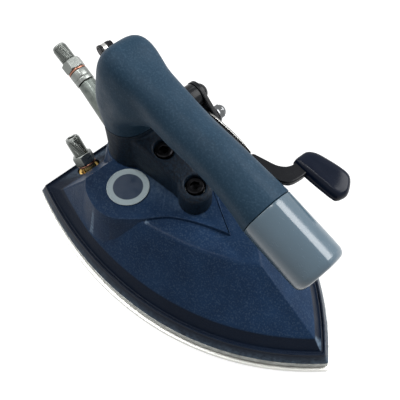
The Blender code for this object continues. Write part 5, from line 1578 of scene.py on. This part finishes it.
@dataclass
class Lever(Assembly):
    """Thumb lever: arm, strip, blade with its neck, pad and fasteners."""

    pivot: Vector = Vector((-28.994, 0.0, 109.491))
    arm_side: float = 18.4
    arm_thickness: float = 2.5
    arm_end_radius: float = 3.2
    arm_boss_radius: float = 6.8
    arm_top: Pairs = ((0.155, 0.55), (0.24, 0.60), (0.448, 0.32), (0.69, 0.05))
    arm_foot: Pairs = ((0.69, 0.78), (0.448, 1.06), (0.207, 1.33), (0.035, 1.10))
    arm_rear_side: float = 6.0
    crank_lead: float = 10.4
    crank_run: float = 3.3
    reach: float = 87.5
    drop: float = 10.9
    joint_shares: tuple[float, float] = (0.131, 0.688)
    joint_boss_radius: float = 5.2
    strip_thickness: float = 0.9
    blade_thickness: float = 1.9
    gap: float = 0.3
    blade_top: Pairs = (
        (0.20, 0.25), (0.326, 0.29), (0.429, 0.42), (0.509, 0.58), (0.66, 0.60))
    blade_foot: Pairs = ((0.66, 0.86), (0.429, 0.91), (0.291, 1.0), (0.16, 1.16))
    strip_top: Pairs = ((0.20, 0.22), (0.326, 0.26), (0.429, 0.39), (0.470, 0.50))
    strip_foot: Pairs = ((0.470, 0.88), (0.429, 0.88), (0.291, 0.97), (0.16, 1.12))
    neck_drop: float = 6.2
    neck_thickness: float = 3.5
    pad_side: float = 33.6
    neck_near: Pairs = (
        (0.43, 0.446), (0.611, 0.446), (0.69, 0.469), (0.737, 0.529), (0.760, 0.612),
        (0.771, 0.770), (0.775, 0.89), (0.83, 0.98), (0.85, 1.07), (0.80, 1.13))
    neck_far: Pairs = (
        (0.715, 1.09), (0.689, 0.99), (0.684, 0.853), (0.669, 0.743), (0.640, 0.672),
        (0.609, 0.633), (0.52, 0.571), (0.485, 0.543), (0.478, 0.50), (0.43, 0.50))
    pad_outline: Pairs = (
        (0.665, 0.91), (0.664, 1.00), (0.673, 1.14), (0.719, 1.23), (0.797, 1.275), (0.874, 1.30),
        (0.930, 1.29), (0.966, 1.22), (1.0, 1.07), (1.002, 0.97), (0.985, 0.87), (0.950, 0.845),
        (0.90, 0.84), (0.82, 0.838), (0.735, 0.845), (0.678, 0.865))
    pad_floor_drop: float = 1.2
    crosspin_x: float = -87.0
    crosspin_drop: float = 1.5
    crosspin_radius: float = 1.8
    crosspin_root: float = 1.4
    crosspin_head_radius: float = 2.8
    crosspin_head: float = 0.8
    collar: Row = (2.1, 3.4, 1.6)
    crank_front: float = 25.0
    crank_tail: float = 6.0
    crank_bends: Row = (0.0, 2.5, 1.5, 0.0, 0.0, 3.0, 3.0, 0.0)
    crank_below: float = 22.0
    crank_height: float = 36.0
    pivot_hole: float = 4.5
    joint_hole: float = 2.5
    neck_edge: float = 0.5
    pad_profile: Pairs = (
        (1.3, 0.15), (0.5, 0.7), (0.05, 1.9), (0.0, 3.0), (0.15, 4.0), (0.5, 5.0), (1.1, 5.85),
        (1.8, 6.4))
    pad_dish: Pairs = ((0.68, 6.75), (0.56, 6.95), (0.42, 7.0), (0.24, 6.95), (0.1, 6.9))
    washer_radius: float = 4.8
    washer_thickness: float = 1.0
    nut_radius: float = 4.2
    nut_profile: Pairs = ((0.0, 3.9), (0.2, 4.1), (0.5, 4.2), (2.0, 4.2), (2.4, 3.9))
    dome_foot: float = 2.4
    dome_height: float = 2.8
    dome_radius: float = 3.4
    bush_root: float = 10.7
    bush_radii: Row = (2.8, 4.2, 6.5)
    pin_root: float = -3.0
    pin_radius: float = 2.5
    pin_head_radius: float = 4.5
    pin_head_height: float = 3.5

    def in_plane(self, shares: tuple[float, float]) -> Vector:
        """Place in the lever's upright plane, as X and height from the pivot."""
        return flat(shares[0] * self.reach, -shares[1] * self.drop)

    def from_above(self, shares: tuple[float, float]) -> Vector:
        """Place of the neck or pad in plan, from the pivot."""
        return flat(shares[0] * self.reach, shares[1] * self.pad_side)

    def crank_plan(self, rear: float) -> Points:
        """Outline of the arm from above: it steps inwards behind the grip."""
        top = self.arm_side + self.arm_thickness
        rear_top = self.arm_rear_side + self.arm_thickness
        start = rear + self.crank_lead
        stop = start - self.crank_run
        tail = rear - self.crank_tail
        bend = math.atan2(self.arm_side - self.arm_rear_side, self.crank_run)
        setback = self.arm_thickness * math.tan(bend / 2)
        path = [flat(self.crank_front, self.arm_side), flat(start, self.arm_side),
                flat(stop, self.arm_rear_side), flat(tail, self.arm_rear_side),
                flat(tail, rear_top), flat(stop - setback, rear_top), flat(start - setback, top),
                flat(self.crank_front, top)]
        return rounded(path, self.crank_bends, 4, closed=True)

    def make_arm(self) -> None:
        """Arm from the cross pin, past the grip's side, over the pivot to the joint screw."""
        middle = flat(0.0, 0.0)
        rear = flat(self.crosspin_x - self.pivot.x, -self.crosspin_drop)
        joint = self.in_plane(self.joint_shares)
        outline = arc(rear, self.arm_end_radius, 90, 270, 20)
        outline += [flat(x * rear.x, -z * self.drop) for x, z in self.arm_foot]
        outline += arc(joint, self.joint_boss_radius, 240, 390, 20)
        outline += arc(middle, self.arm_boss_radius, 45, 210, 20)
        outline += [flat(x * rear.x, -z * self.drop) for x, z in self.arm_top]
        holes = [hole(rear, self.crosspin_radius + self.gap), hole(middle, self.pivot_hole),
                 hole(joint, self.joint_hole)]
        spare = 2.0
        depth = self.arm_side + self.arm_thickness - self.arm_rear_side + 2 * spare
        shape = plate([outline, *holes], depth, 0.0)
        item = as_object(upright(shape, self.pivot, self.arm_rear_side - spare), "lever_arm_piece")
        foot = flat(self.pivot.x, 0.0, self.pivot.z - self.crank_below)
        plan = [place + foot for place in self.crank_plan(rear.x)]
        combined(item, [plate([plan], self.crank_height, 0.0)], "INTERSECT")
        softened(item, 0.35, 2)
        self.finish(item, "lever_arm", "black_metal", Body.LEVER, Shading.ROUND)

    def joint_plate(self, top: Pairs, foot: Pairs, thickness: float, edge: float,
                    side: float) -> Shape:
        """Upright plate that starts round the joint screw.

        Args:
            top: its upper edge, from the joint on.
            foot: its lower edge, back to the joint.
            thickness: its thickness.
            edge: rounding of its rims.
            side: left side where its inner face goes.

        Returns:
            The closed plate.
        """
        joint = self.in_plane(self.joint_shares)
        outline = arc(joint, self.joint_boss_radius, 240, 120, 16)
        for border in (top, foot):
            outline += smooth_path([self.in_plane(shares) for shares in border], 5)
        shape = plate([outline, hole(joint, self.joint_hole)], thickness, edge)
        return upright(shape, self.pivot, side)

    def make_strip(self) -> None:
        """Bright strip between the arm and the blade."""
        side = self.arm_side - self.gap - self.strip_thickness
        shape = self.joint_plate(self.strip_top, self.strip_foot, self.strip_thickness, 0.2, side)
        self.finish(shape, "lever_strip", "bright_strip", Body.LEVER)

    def make_blade(self) -> None:
        """Blade beside the grip and the bent neck out to the pad."""
        side = self.arm_side - 2 * self.gap - self.strip_thickness - self.blade_thickness
        shape = self.joint_plate(self.blade_top, self.blade_foot, self.blade_thickness, 0.0, side)
        item = as_object(shape, "thumb_lever_piece")
        bottom = flat(self.pivot.x, 0.0, self.pivot.z - self.neck_drop - self.neck_thickness)
        neck = [place + bottom for border in (self.neck_near, self.neck_far)
                for place in smooth_path([self.from_above(shares) for shares in border], 5)]
        combined(item, [plate([neck], self.neck_thickness, self.neck_edge)], "UNION")
        softened(item, 0.35, 2)
        self.finish(item, "thumb_lever", "black_metal", Body.LEVER, Shading.ROUND)

    def make_pad(self) -> None:
        """Glossy thumb pad with rolled edges and a shallow dish."""
        floor = (self.pivot.z - self.neck_drop - self.neck_thickness - self.gap
                 - self.pad_floor_drop)
        border = [self.from_above(shares) for shares in self.pad_outline]
        outline = [place + flat(self.pivot.x, 0.0) for place in smooth_path(border, 6, closed=True)]
        centre = sum(outline, Vector()) / len(outline)

        def drawn_in(share: float, height: float) -> Points:
            """Outline drawn in towards its middle."""
            return at_height([centre + (place - centre) * share for place in outline],
                             floor + height)

        rings = [drawn_in(0.72, 0.0)]
        rings += [at_height(moved_out(outline, -inset), floor + height)
                  for inset, height in self.pad_profile]
        rings += [drawn_in(share, height) for share, height in self.pad_dish]
        self.finish(loft(rings), "thumb_pad", "pad_plastic", Body.LEVER, Shading.ROUND)

    def make_nut(self, foot: Vector) -> None:
        """Acorn nut with a corner of its hexagon ahead.

        Args:
            foot: middle of its seat.
        """
        twist = math.pi / 6
        half_flats = self.nut_radius * math.cos(twist)
        rings = [ring_around(along, hexagon(half_flats, limit, twist))
                 for along, limit in self.nut_profile]
        for turn in map(math.radians, (0, 15, 30, 45, 60, 75, 86)):
            rings.append(ring_around(self.dome_foot + self.dome_height * math.sin(turn),
                                     self.dome_radius * math.cos(turn)))
        self.finish(laid(loft(rings), foot, LEFT), "acorn_nut", "chrome_nut", Body.LEVER)

    def make_fasteners(self) -> None:
        """Washer, acorn nut, cross pin and its collar."""
        joint = self.in_plane(self.joint_shares)
        centre = flat(self.pivot.x + joint.x, 0.0, self.pivot.z + joint.y)
        washer_foot = self.arm_side + self.arm_thickness + self.gap
        washer = flat_ring(self.joint_hole, self.washer_radius, self.washer_thickness,
                           centre + LEFT * washer_foot, LEFT, 0.2)
        self.finish(washer, "strip_washer", "chrome_nut", Body.LEVER)
        self.make_nut(centre + LEFT * (washer_foot + self.washer_thickness + self.gap))
        pin = flat(self.crosspin_x, 0.0, self.pivot.z - self.crosspin_drop)
        root, reach, wide = self.crosspin_root, self.crosspin_radius, self.crosspin_head_radius
        head = self.arm_rear_side + self.arm_thickness + self.gap
        end = head + self.crosspin_head
        shaft = spun([(0.0, root), (reach, root), (reach, head), (wide, head), (wide, end),
                      (0.0, end)], pin, LEFT, 0.25, 48)
        self.finish(shaft, "lever_crosspin", "black_bolt", Body.LEVER)
        collar = flat_ring(*self.collar, pin + LEFT * root, LEFT, 0.35)
        self.finish(collar, "crosspin_collar", "black_metal", Body.LEVER)

    def make_bush(self) -> None:
        """Shouldered bush between the grip and the arm."""
        root, (bore, neck, wide) = self.bush_root, self.bush_radii
        shoulder = self.arm_side - self.gap
        end = self.arm_side + self.arm_thickness + self.gap
        bush = spun([(bore, root), (wide, root), (wide, shoulder), (neck, shoulder), (neck, end),
                     (bore, end)], self.pivot, LEFT, 0.4)
        self.finish(bush, "pivot_bush", "black_metal")

    def make_pivot_head(self) -> None:
        """Domed head of the pivot pin, with its shank."""
        foot = self.arm_side + self.arm_thickness + 2 * self.gap
        shank, wide, height = self.pin_radius, self.pin_head_radius, self.pin_head_height
        dome = [(wide * math.cos(turn), foot + height * math.sin(turn))
                for turn in map(math.radians, (10, 25, 40, 55, 70))]
        profile = [(0.0, self.pin_root), (shank, self.pin_root), (shank, foot), (wide, foot), *dome,
                   (0.0, foot + height)]
        self.finish(spun(profile, self.pivot, LEFT, 0.1), "pivot_pin", "black_metal")


# ---- valve, inlet and outlet

@dataclass
class HoseNipple:
    """Hose nipple: spigot, hexagon and a threaded end round a bore."""

    flats: float = 12.0
    hexagon_length: float = 7.0
    thread_radius: float = 4.86
    thread_depth: float = 0.58
    pitch: float = 0.907
    turns: int = 12
    runout: float = 0.8
    bore: float = 2.6
    spigot_radius: float = 3.6
    sides: int = 72
    steps_per_turn: int = 8

    def shape(self, foot: Vector, direction: Vector, spigot: float) -> Shape:
        """Build the nipple along an axis.

        Args:
            foot: where the hexagon starts.
            direction: where the threaded end points.
            spigot: length of the plain end behind the hexagon.

        Returns:
            The closed shape.
        """
        start, half = self.hexagon_length, self.flats / 2
        corner = half / math.cos(math.pi / 6)
        root = self.thread_radius - self.thread_depth
        length = self.runout + self.turns * self.pitch
        top = start + length + self.runout
        rows = [(-spigot, self.bore), (-spigot, self.spigot_radius),
                (0.0, self.spigot_radius)]
        rows += [(along, hexagon(half, limit)) for along, limit in (
            (0.0, half - 0.2), (0.25, half + 0.12), (0.55, corner - 0.2), (0.8, corner),
            (start - 0.8, corner), (start - 0.55, corner - 0.2), (start - 0.25, half + 0.12),
            (start, half - 0.2))]
        rows.append((start, root))
        count = (self.turns + 1) * self.steps_per_turn
        for step in range(1, count):
            along = start + length * step / count
            rows.append((along, self.threaded(along, start, start + length)))
        rows += [(top - 0.3, root + 0.05), (top, root - 0.35),
                 (top, self.bore + 0.3), (top - 0.3, self.bore)]
        rings = [ring_around(along, reach, self.sides) for along, reach in rows]
        return laid(loft(rings, wrap=True), foot, direction)

    def threaded(self, along: float, start: float, stop: float) -> Reach:
        """Reach of the thread's flank at one height.

        Args:
            along: height of the ring.
            start: where the thread begins.
            stop: where it ends.

        Returns:
            The reach in each direction, faded at both ends of the thread.
        """
        fade = min(1.0, max(0.0, (along - start) / self.runout),
                   max(0.0, (stop - along) / self.runout))

        def reach(turn: float) -> float:
            """Reach in one direction."""
            phase = (along / self.pitch - turn / (2 * math.pi)) % 1.0
            height = min(1.0, 1.25 * (1 - abs(2 * phase - 1)))
            return self.thread_radius - self.thread_depth + self.thread_depth * height * fade

        return reach


def hexed(parts: Sequence[tuple[float, float, bool]], bore: float, foot: Vector,
          direction: Vector) -> Shape:
    """Turned piece with some hexagonal lengths.

    Args:
        parts: distance along the axis, reach, and whether that is half a width over flats.
        bore: radius of the hole.
        foot: start of the axis.
        direction: direction of the axis.

    Returns:
        The closed shape.
    """
    rings = []
    for along, radius, hexagonal in parts:
        limit = radius / math.cos(math.pi / 6) - 0.25
        rings.append(ring_around(along, hexagon(radius, limit) if hexagonal else radius))
    rings += [ring_around(along, bore) for along in (parts[-1][0], parts[0][0])]
    return laid(loft(rings, wrap=True), foot, direction)


@dataclass
class Valve(Assembly):
    """Valve casting with its bonnet, and the inlet and outlet."""

    centre: Vector = VALVE_PLACE
    floor: float = 15.4
    top: float = 50.0
    column_radius: float = 7.0
    boss_radius: float = 9.0
    foot_height: float = 3.6
    spigot_radius: float = 5.5
    spigot_length: float = 3.0
    chamber_radius: float = 4.5
    chamber_floor: float = 28.0
    port_floor: float = 10.0
    port_top: float = 30.0
    port_radius: float = 3.0
    face_radius: float = 7.8
    branch_height: float = 25.8
    branch_length: float = 35.8
    branch_rise: float = math.radians(24)
    branch_root: float = 8.3
    branch_tip: float = 5.8
    branch_socket_depth: float = 6.3
    branch_socket_radius: float = 4.3
    gusset: Pairs = ((0.0, 6.6), (-7.0, 6.6), (-22.5, 31.0), (0.0, 31.0))
    gusset_thickness: float = 8.0
    bore: float = 2.8
    bonnet_height: float = 10.0
    inlet_spigot: float = 6.0
    union_length: float = 8.0
    outlet_rise: float = math.radians(52)
    outlet_place: Vector = OUTLET_PLACE + UP * 14.5
    outlet_base: float = 3.0
    outlet_straight: float = 3.0
    outlet_end_radius: float = 4.5
    outlet_hub_offset: float = 4.2
    outlet_hub_length: float = 7.4
    outlet_hub_radius: float = 4.5
    outlet_hub_flare: float = 0.6
    outlet_socket_depth: float = 4.0
    washer_bore: float = 3.9
    washer_thickness: float = 1.2
    washer_radius: float = 6.2
    spring_radius: float = 3.4
    spring_wire: float = 0.45
    seat_height: float = 12.6
    seat_thickness: float = 2.0
    disc_thickness: float = 2.4
    bonnet_spigot: float = 3.5
    stem_lift: float = 4.7
    gap: float = 0.3

    def inlet_direction(self) -> Vector:
        """Direction in which the inlet leaves."""
        return flat(-math.cos(self.branch_rise), 0.0, math.sin(self.branch_rise))

    def branch_end(self) -> Vector:
        """Open end of the casting's branch."""
        root = self.centre + UP * (self.floor + self.branch_height)
        return root + self.inlet_direction() * self.branch_length

    def make_casting(self) -> None:
        """Casting with run-together edges, and a machined face where it takes the bonnet."""
        axis, end, direction = self.centre, self.branch_end(), self.inlet_direction()
        foot, height = axis + UP * self.floor, self.top - self.floor
        shape = spun([(0.0, -self.spigot_length), (self.spigot_radius, -self.spigot_length),
                      (self.spigot_radius, 0.0), (self.boss_radius, 0.0),
                      (self.boss_radius, self.foot_height), (self.column_radius, self.foot_height),
                      (self.column_radius, height), (0.0, height)], foot, UP)
        item = as_object(shape, "valve_body_piece")
        root = axis + UP * (self.floor + self.branch_height)
        branch = rod(root, end, self.branch_root, self.branch_tip)
        gusset = plate([[flat(x, y) for x, y in self.gusset]], self.gusset_thickness, 0.0)
        upright(gusset, foot, axis.y - self.gusset_thickness / 2)
        combined(item, [branch, gusset], "UNION")
        softened(item, 0.5, 3)
        face = rod(axis + UP * self.top, axis + UP * (self.top + 30), self.face_radius, sides=96)
        chamber = rod(axis + UP * self.chamber_floor, axis + UP * (self.top + 1),
                      self.chamber_radius)
        socket = rod(end - direction * self.branch_socket_depth, end + direction * 2,
                     self.branch_socket_radius)
        port = rod(axis + UP * self.port_floor, axis + UP * self.port_top, self.port_radius)
        combined(item, [face, chamber, socket, port], "DIFFERENCE")
        self.finish(item, "valve_body", "valve_casting")

    def make_bonnet(self) -> None:
        """Bonnet and gland nut with their hexagons."""
        foot = self.centre + UP * (self.top + self.gap)
        bonnet = hexed([(-self.bonnet_spigot, 4.2, False), (0.0, 4.2, False), (0.0, 6.0, False),
                        (0.3, 6.2, True), (4.2, 6.2, True), (4.5, 6.0, False), (4.5, 5.2, False),
                        (5.0, 5.5, False), (self.bonnet_height, 5.5, False)], self.bore, foot, UP)
        self.finish(bonnet, "valve_bonnet", "valve_brass")
        nut_foot = foot + UP * (self.bonnet_height + self.gap)
        gland = hexed([(0.0, 4.9, False), (0.3, 5.0, True), (4.6, 5.0, True), (5.0, 4.8, False),
                       (5.5, 4.0, False)], self.bore, nut_foot, UP)
        self.finish(gland, "gland_nut", "valve_brass")

    def make_spring(self) -> None:
        """Coil spring that shortens as the disc rises."""
        sides, steps, turns = 12, 24, 5
        disc_top = (self.floor + self.seat_height + self.seat_thickness + 2 * self.gap
                    + self.disc_thickness)
        low = disc_top + self.gap + self.spring_wire
        high = self.top - self.bonnet_spigot - self.spring_wire
        rings = []
        for index in range(turns * steps + 1):
            turn = 2 * math.pi * index / steps
            outwards = flat(math.cos(turn), math.sin(turn))
            height = low + (high - low) * index / (turns * steps)
            middle = flat(self.centre.x, self.centre.y, height) + outwards * self.spring_radius
            angles = [2 * math.pi * side / sides for side in range(sides)]
            rings.append([
                middle + (outwards * math.cos(angle) + UP * math.sin(angle)) * self.spring_wire
                for angle in angles])
        spring = self.finish(loft(rings), "valve_spring", "screw_steel", shading=Shading.ROUND)
        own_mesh(spring)

    def make_connection(self, side: str, foot: Vector, direction: Vector, spigot: float) -> None:
        """Copper ring and hose nipple on a seat.

        Args:
            side: inlet or outlet, as their nodes are called.
            foot: middle of the copper ring's underside.
            direction: where the nipple points.
            spigot: length of the nipple's plain end.
        """
        ring = flat_ring(self.washer_bore, self.washer_radius, self.washer_thickness, foot,
                         direction, 0.3)
        self.finish(ring, f"{side}_washer", "copper_ring")
        nipple_foot = foot + direction * (self.washer_thickness + self.gap)
        self.finish(HoseNipple().shape(nipple_foot, direction, spigot), f"{side}_nipple",
                    "plated_steel", shading=Shading.FLAT)

    def make_inlet(self) -> None:
        """Union, copper ring and hose nipple on the branch."""
        direction = self.inlet_direction()
        foot = self.branch_end() + direction * self.gap
        union = spun([(2.7, -self.inlet_spigot), (4.0, -self.inlet_spigot), (4.0, 0.0), (6.3, 0.0),
                      (6.3, 2.6), (5.9, 3.0), (6.3, 3.4), (6.3, self.union_length),
                      (self.washer_bore, self.union_length), (self.washer_bore, 1.7), (2.7, 1.7)],
                     foot, direction, 0.3)
        self.finish(union, "inlet_union", "plated_steel")
        washer_foot = foot + direction * (self.union_length + self.gap)
        self.make_connection("inlet", washer_foot, direction, self.inlet_spigot)

    def make_outlet(self) -> None:
        """Brass elbow, copper ring and hose nipple."""
        direction = flat(-math.cos(self.outlet_rise), 0.0, math.sin(self.outlet_rise))
        root = self.outlet_place + flat(self.outlet_hub_offset, 0.0, self.outlet_base / 2)
        seat = root + direction * self.outlet_hub_length
        outline = oblong(self.outlet_place, self.outlet_straight, self.outlet_end_radius, 20)
        item = as_object(plate([outline], self.outlet_base, 0.6, 3), "outlet_elbow_piece")
        radius = self.outlet_hub_radius
        hub = rod(root - direction * 2, seat, radius + self.outlet_hub_flare, radius, 72)
        combined(item, [hub], "UNION")
        below = block(self.outlet_place + flat(-20.0, -20.0, -20.0),
                      self.outlet_place + flat(20.0, 20.0, 0.0))
        bore = rod(seat - direction * self.outlet_socket_depth, seat + direction * 2,
                   self.washer_bore)
        combined(item, [below, bore], "DIFFERENCE")
        self.finish(item, "outlet_elbow", "valve_brass")
        self.make_connection("outlet", seat + direction * self.gap, direction,
                             self.outlet_hub_length / 2 + self.washer_thickness)


# ---- studio

@dataclass
class Studio:
    """Pale floor, soft light and the photograph's camera."""

    lens: float = 49.5
    sensor: float = 36.0
    nearest: float = 0.01
    azimuth: float = 0.7245921
    elevation: float = 1.0335027
    roll: float = -0.0088535
    distance: float = 0.3541
    shift_right: float = 0.003878
    shift_up: float = -0.032105
    floor_size: float = 6.0
    floor_grey: float = 0.32
    floor_glow: float = 0.78
    world_light: float = 0.22
    lamp_aim: Vector = Vector((0.0, 0.0, 0.05))

    def axes(self) -> tuple[Vector, Vector, Vector]:
        """Camera's right, up and backward directions."""
        level = math.cos(self.elevation)
        back = Vector((level * math.cos(self.azimuth), -level * math.sin(self.azimuth),
                       math.sin(self.elevation)))
        right = UP.cross(back).normalized()
        above = back.cross(right)
        turn, tilt = math.cos(self.roll), math.sin(self.roll)
        return right * turn + above * tilt, above * turn - right * tilt, back

    def make_camera(self) -> None:
        """Camera at the photograph's place."""
        right, above, back = self.axes()
        place = back * self.distance - right * self.shift_right - above * self.shift_up
        data = bpy.data.cameras.new("camera")
        data.lens = self.lens
        data.sensor_width = self.sensor
        data.clip_start = self.nearest
        camera = bpy.data.objects.new("camera", data)
        turn = Matrix((right, above, back)).transposed().to_4x4()
        camera.matrix_world = Matrix.Translation(place) @ turn
        bpy.context.scene.collection.objects.link(camera)
        bpy.context.scene.camera = camera

    def make_floor(self) -> None:
        """White floor that still takes the iron's shadow."""
        shape = bmesh.new()
        size = self.floor_size / MILLIMETRE / 2
        bmesh.ops.create_grid(shape, x_segments=1, y_segments=1, size=size)
        floor = as_object(shape, "floor")
        nodes = MaterialNodes("floor_white")
        nodes.shader.inputs["Base Color"].default_value = (*(self.floor_grey,) * 3, 1.0)
        nodes.set("Roughness", 0.9)
        nodes.set("Specular IOR Level", 0.0)
        glow = nodes.node("Emission")
        strength = nodes.mapped(self.seen(nodes.tree), 0.0, self.floor_glow, 0.0, 1.0)
        nodes.link(strength, glow.inputs["Strength"])
        total = nodes.node("AddShader")
        nodes.link(nodes.shader.outputs["BSDF"], total.inputs[0])
        nodes.link(glow.outputs["Emission"], total.inputs[1])
        output = next(node for node in nodes.tree.nodes if node.type == "OUTPUT_MATERIAL")
        nodes.link(total.outputs["Shader"], output.inputs["Surface"])
        floor.data.materials.append(nodes.material)
        floor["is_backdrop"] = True

    @staticmethod
    def seen(tree: bpy.types.NodeTree) -> Socket:
        """Value that is 1 for rays from the camera, a mirror or glass."""
        path = tree.nodes.new("ShaderNodeLightPath")
        last = path.outputs["Is Camera Ray"]
        for name in ("Is Glossy Ray", "Is Transmission Ray"):
            node = tree.nodes.new("ShaderNodeMath")
            node.operation = "MAXIMUM"
            tree.links.new(last, node.inputs[0])
            tree.links.new(path.outputs[name], node.inputs[1])
            last = node.outputs["Value"]
        return last

    def make_world(self) -> None:
        """World: white behind the object, softer as a light."""
        world = bpy.data.worlds.new("studio")
        bpy.context.scene.world = world
        world.use_nodes = True
        tree = world.node_tree
        ground = next(node for node in tree.nodes if node.type == "BACKGROUND")
        ground.inputs["Color"].default_value = (1.0, 1.0, 1.0, 1.0)
        strength = tree.nodes.new("ShaderNodeMapRange")
        strength.inputs["To Min"].default_value = self.world_light
        strength.inputs["To Max"].default_value = 1.0
        tree.links.new(self.seen(tree), strength.inputs["Value"])
        tree.links.new(strength.outputs["Result"], ground.inputs["Strength"])

    def make_lamp(self, name: str, place: Vector, size: tuple[float, float], power: float) -> None:
        """Soft lamp that faces the iron.

        Args:
            name: its name.
            place: where it hangs, in metres.
            size: its length along X and its width, in metres.
            power: its power in watts.
        """
        data = bpy.data.lights.new(name, "AREA")
        data.shape = "RECTANGLE"
        data.size, data.size_y = size
        data.energy = power
        lamp = bpy.data.objects.new(name, data)
        back = (place - self.lamp_aim).normalized()
        across = back.cross(LEFT).normalized() * -1
        turn = Matrix((across, back.cross(across), back)).transposed().to_4x4()
        lamp.matrix_world = Matrix.Translation(place) @ turn
        bpy.context.scene.collection.objects.link(lamp)

    def build(self) -> None:
        """Set up the whole studio."""
        bpy.context.scene.view_settings.view_transform = "Standard"
        self.make_camera()
        self.make_floor()
        self.make_world()
        self.make_lamp("key", Vector((0.35, 0.75, 0.85)), (0.9, 0.9), 19.0)
        self.make_lamp("fill", Vector((-0.6, -0.45, 0.9)), (0.7, 0.7), 4.0)
        self.make_lamp("line", Vector((-0.34, -0.13, 1.15)), (0.6, 0.07), 4.0)
        LOG.info("studio ready")


def corners() -> list[list[float]]:
    """Lowest and highest corner of everything that belongs to the iron."""
    low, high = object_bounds()
    return [list(low), list(high)]


def main() -> None:
    """Build the studio and every sub-assembly in order."""
    logging.basicConfig(level=logging.INFO, format="%(name)s %(message)s")
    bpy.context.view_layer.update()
    finishes = Finishes()
    finishes.dress_carried()
    Studio().build()
    outline = BoatOutline()
    sole = Sole(finishes, outline)
    sole.make_plate()
    sole.make_body()
    Cover(finishes, outline).make_shell()
    Badge(finishes).make_disc()
    handle = Handle(finishes)
    handle.make_bracket()
    handle.make_grip()
    handle.make_cap()
    handle.make_bolts()
    lever = Lever(finishes)
    lever.make_arm()
    lever.make_strip()
    lever.make_blade()
    lever.make_pad()
    lever.make_fasteners()
    lever.make_bush()
    lever.make_pivot_head()
    valve = Valve(finishes)
    valve.make_casting()
    valve.make_bonnet()
    valve.make_spring()
    valve.make_inlet()
    valve.make_outlet()


if __name__ == "__main__":
    main()
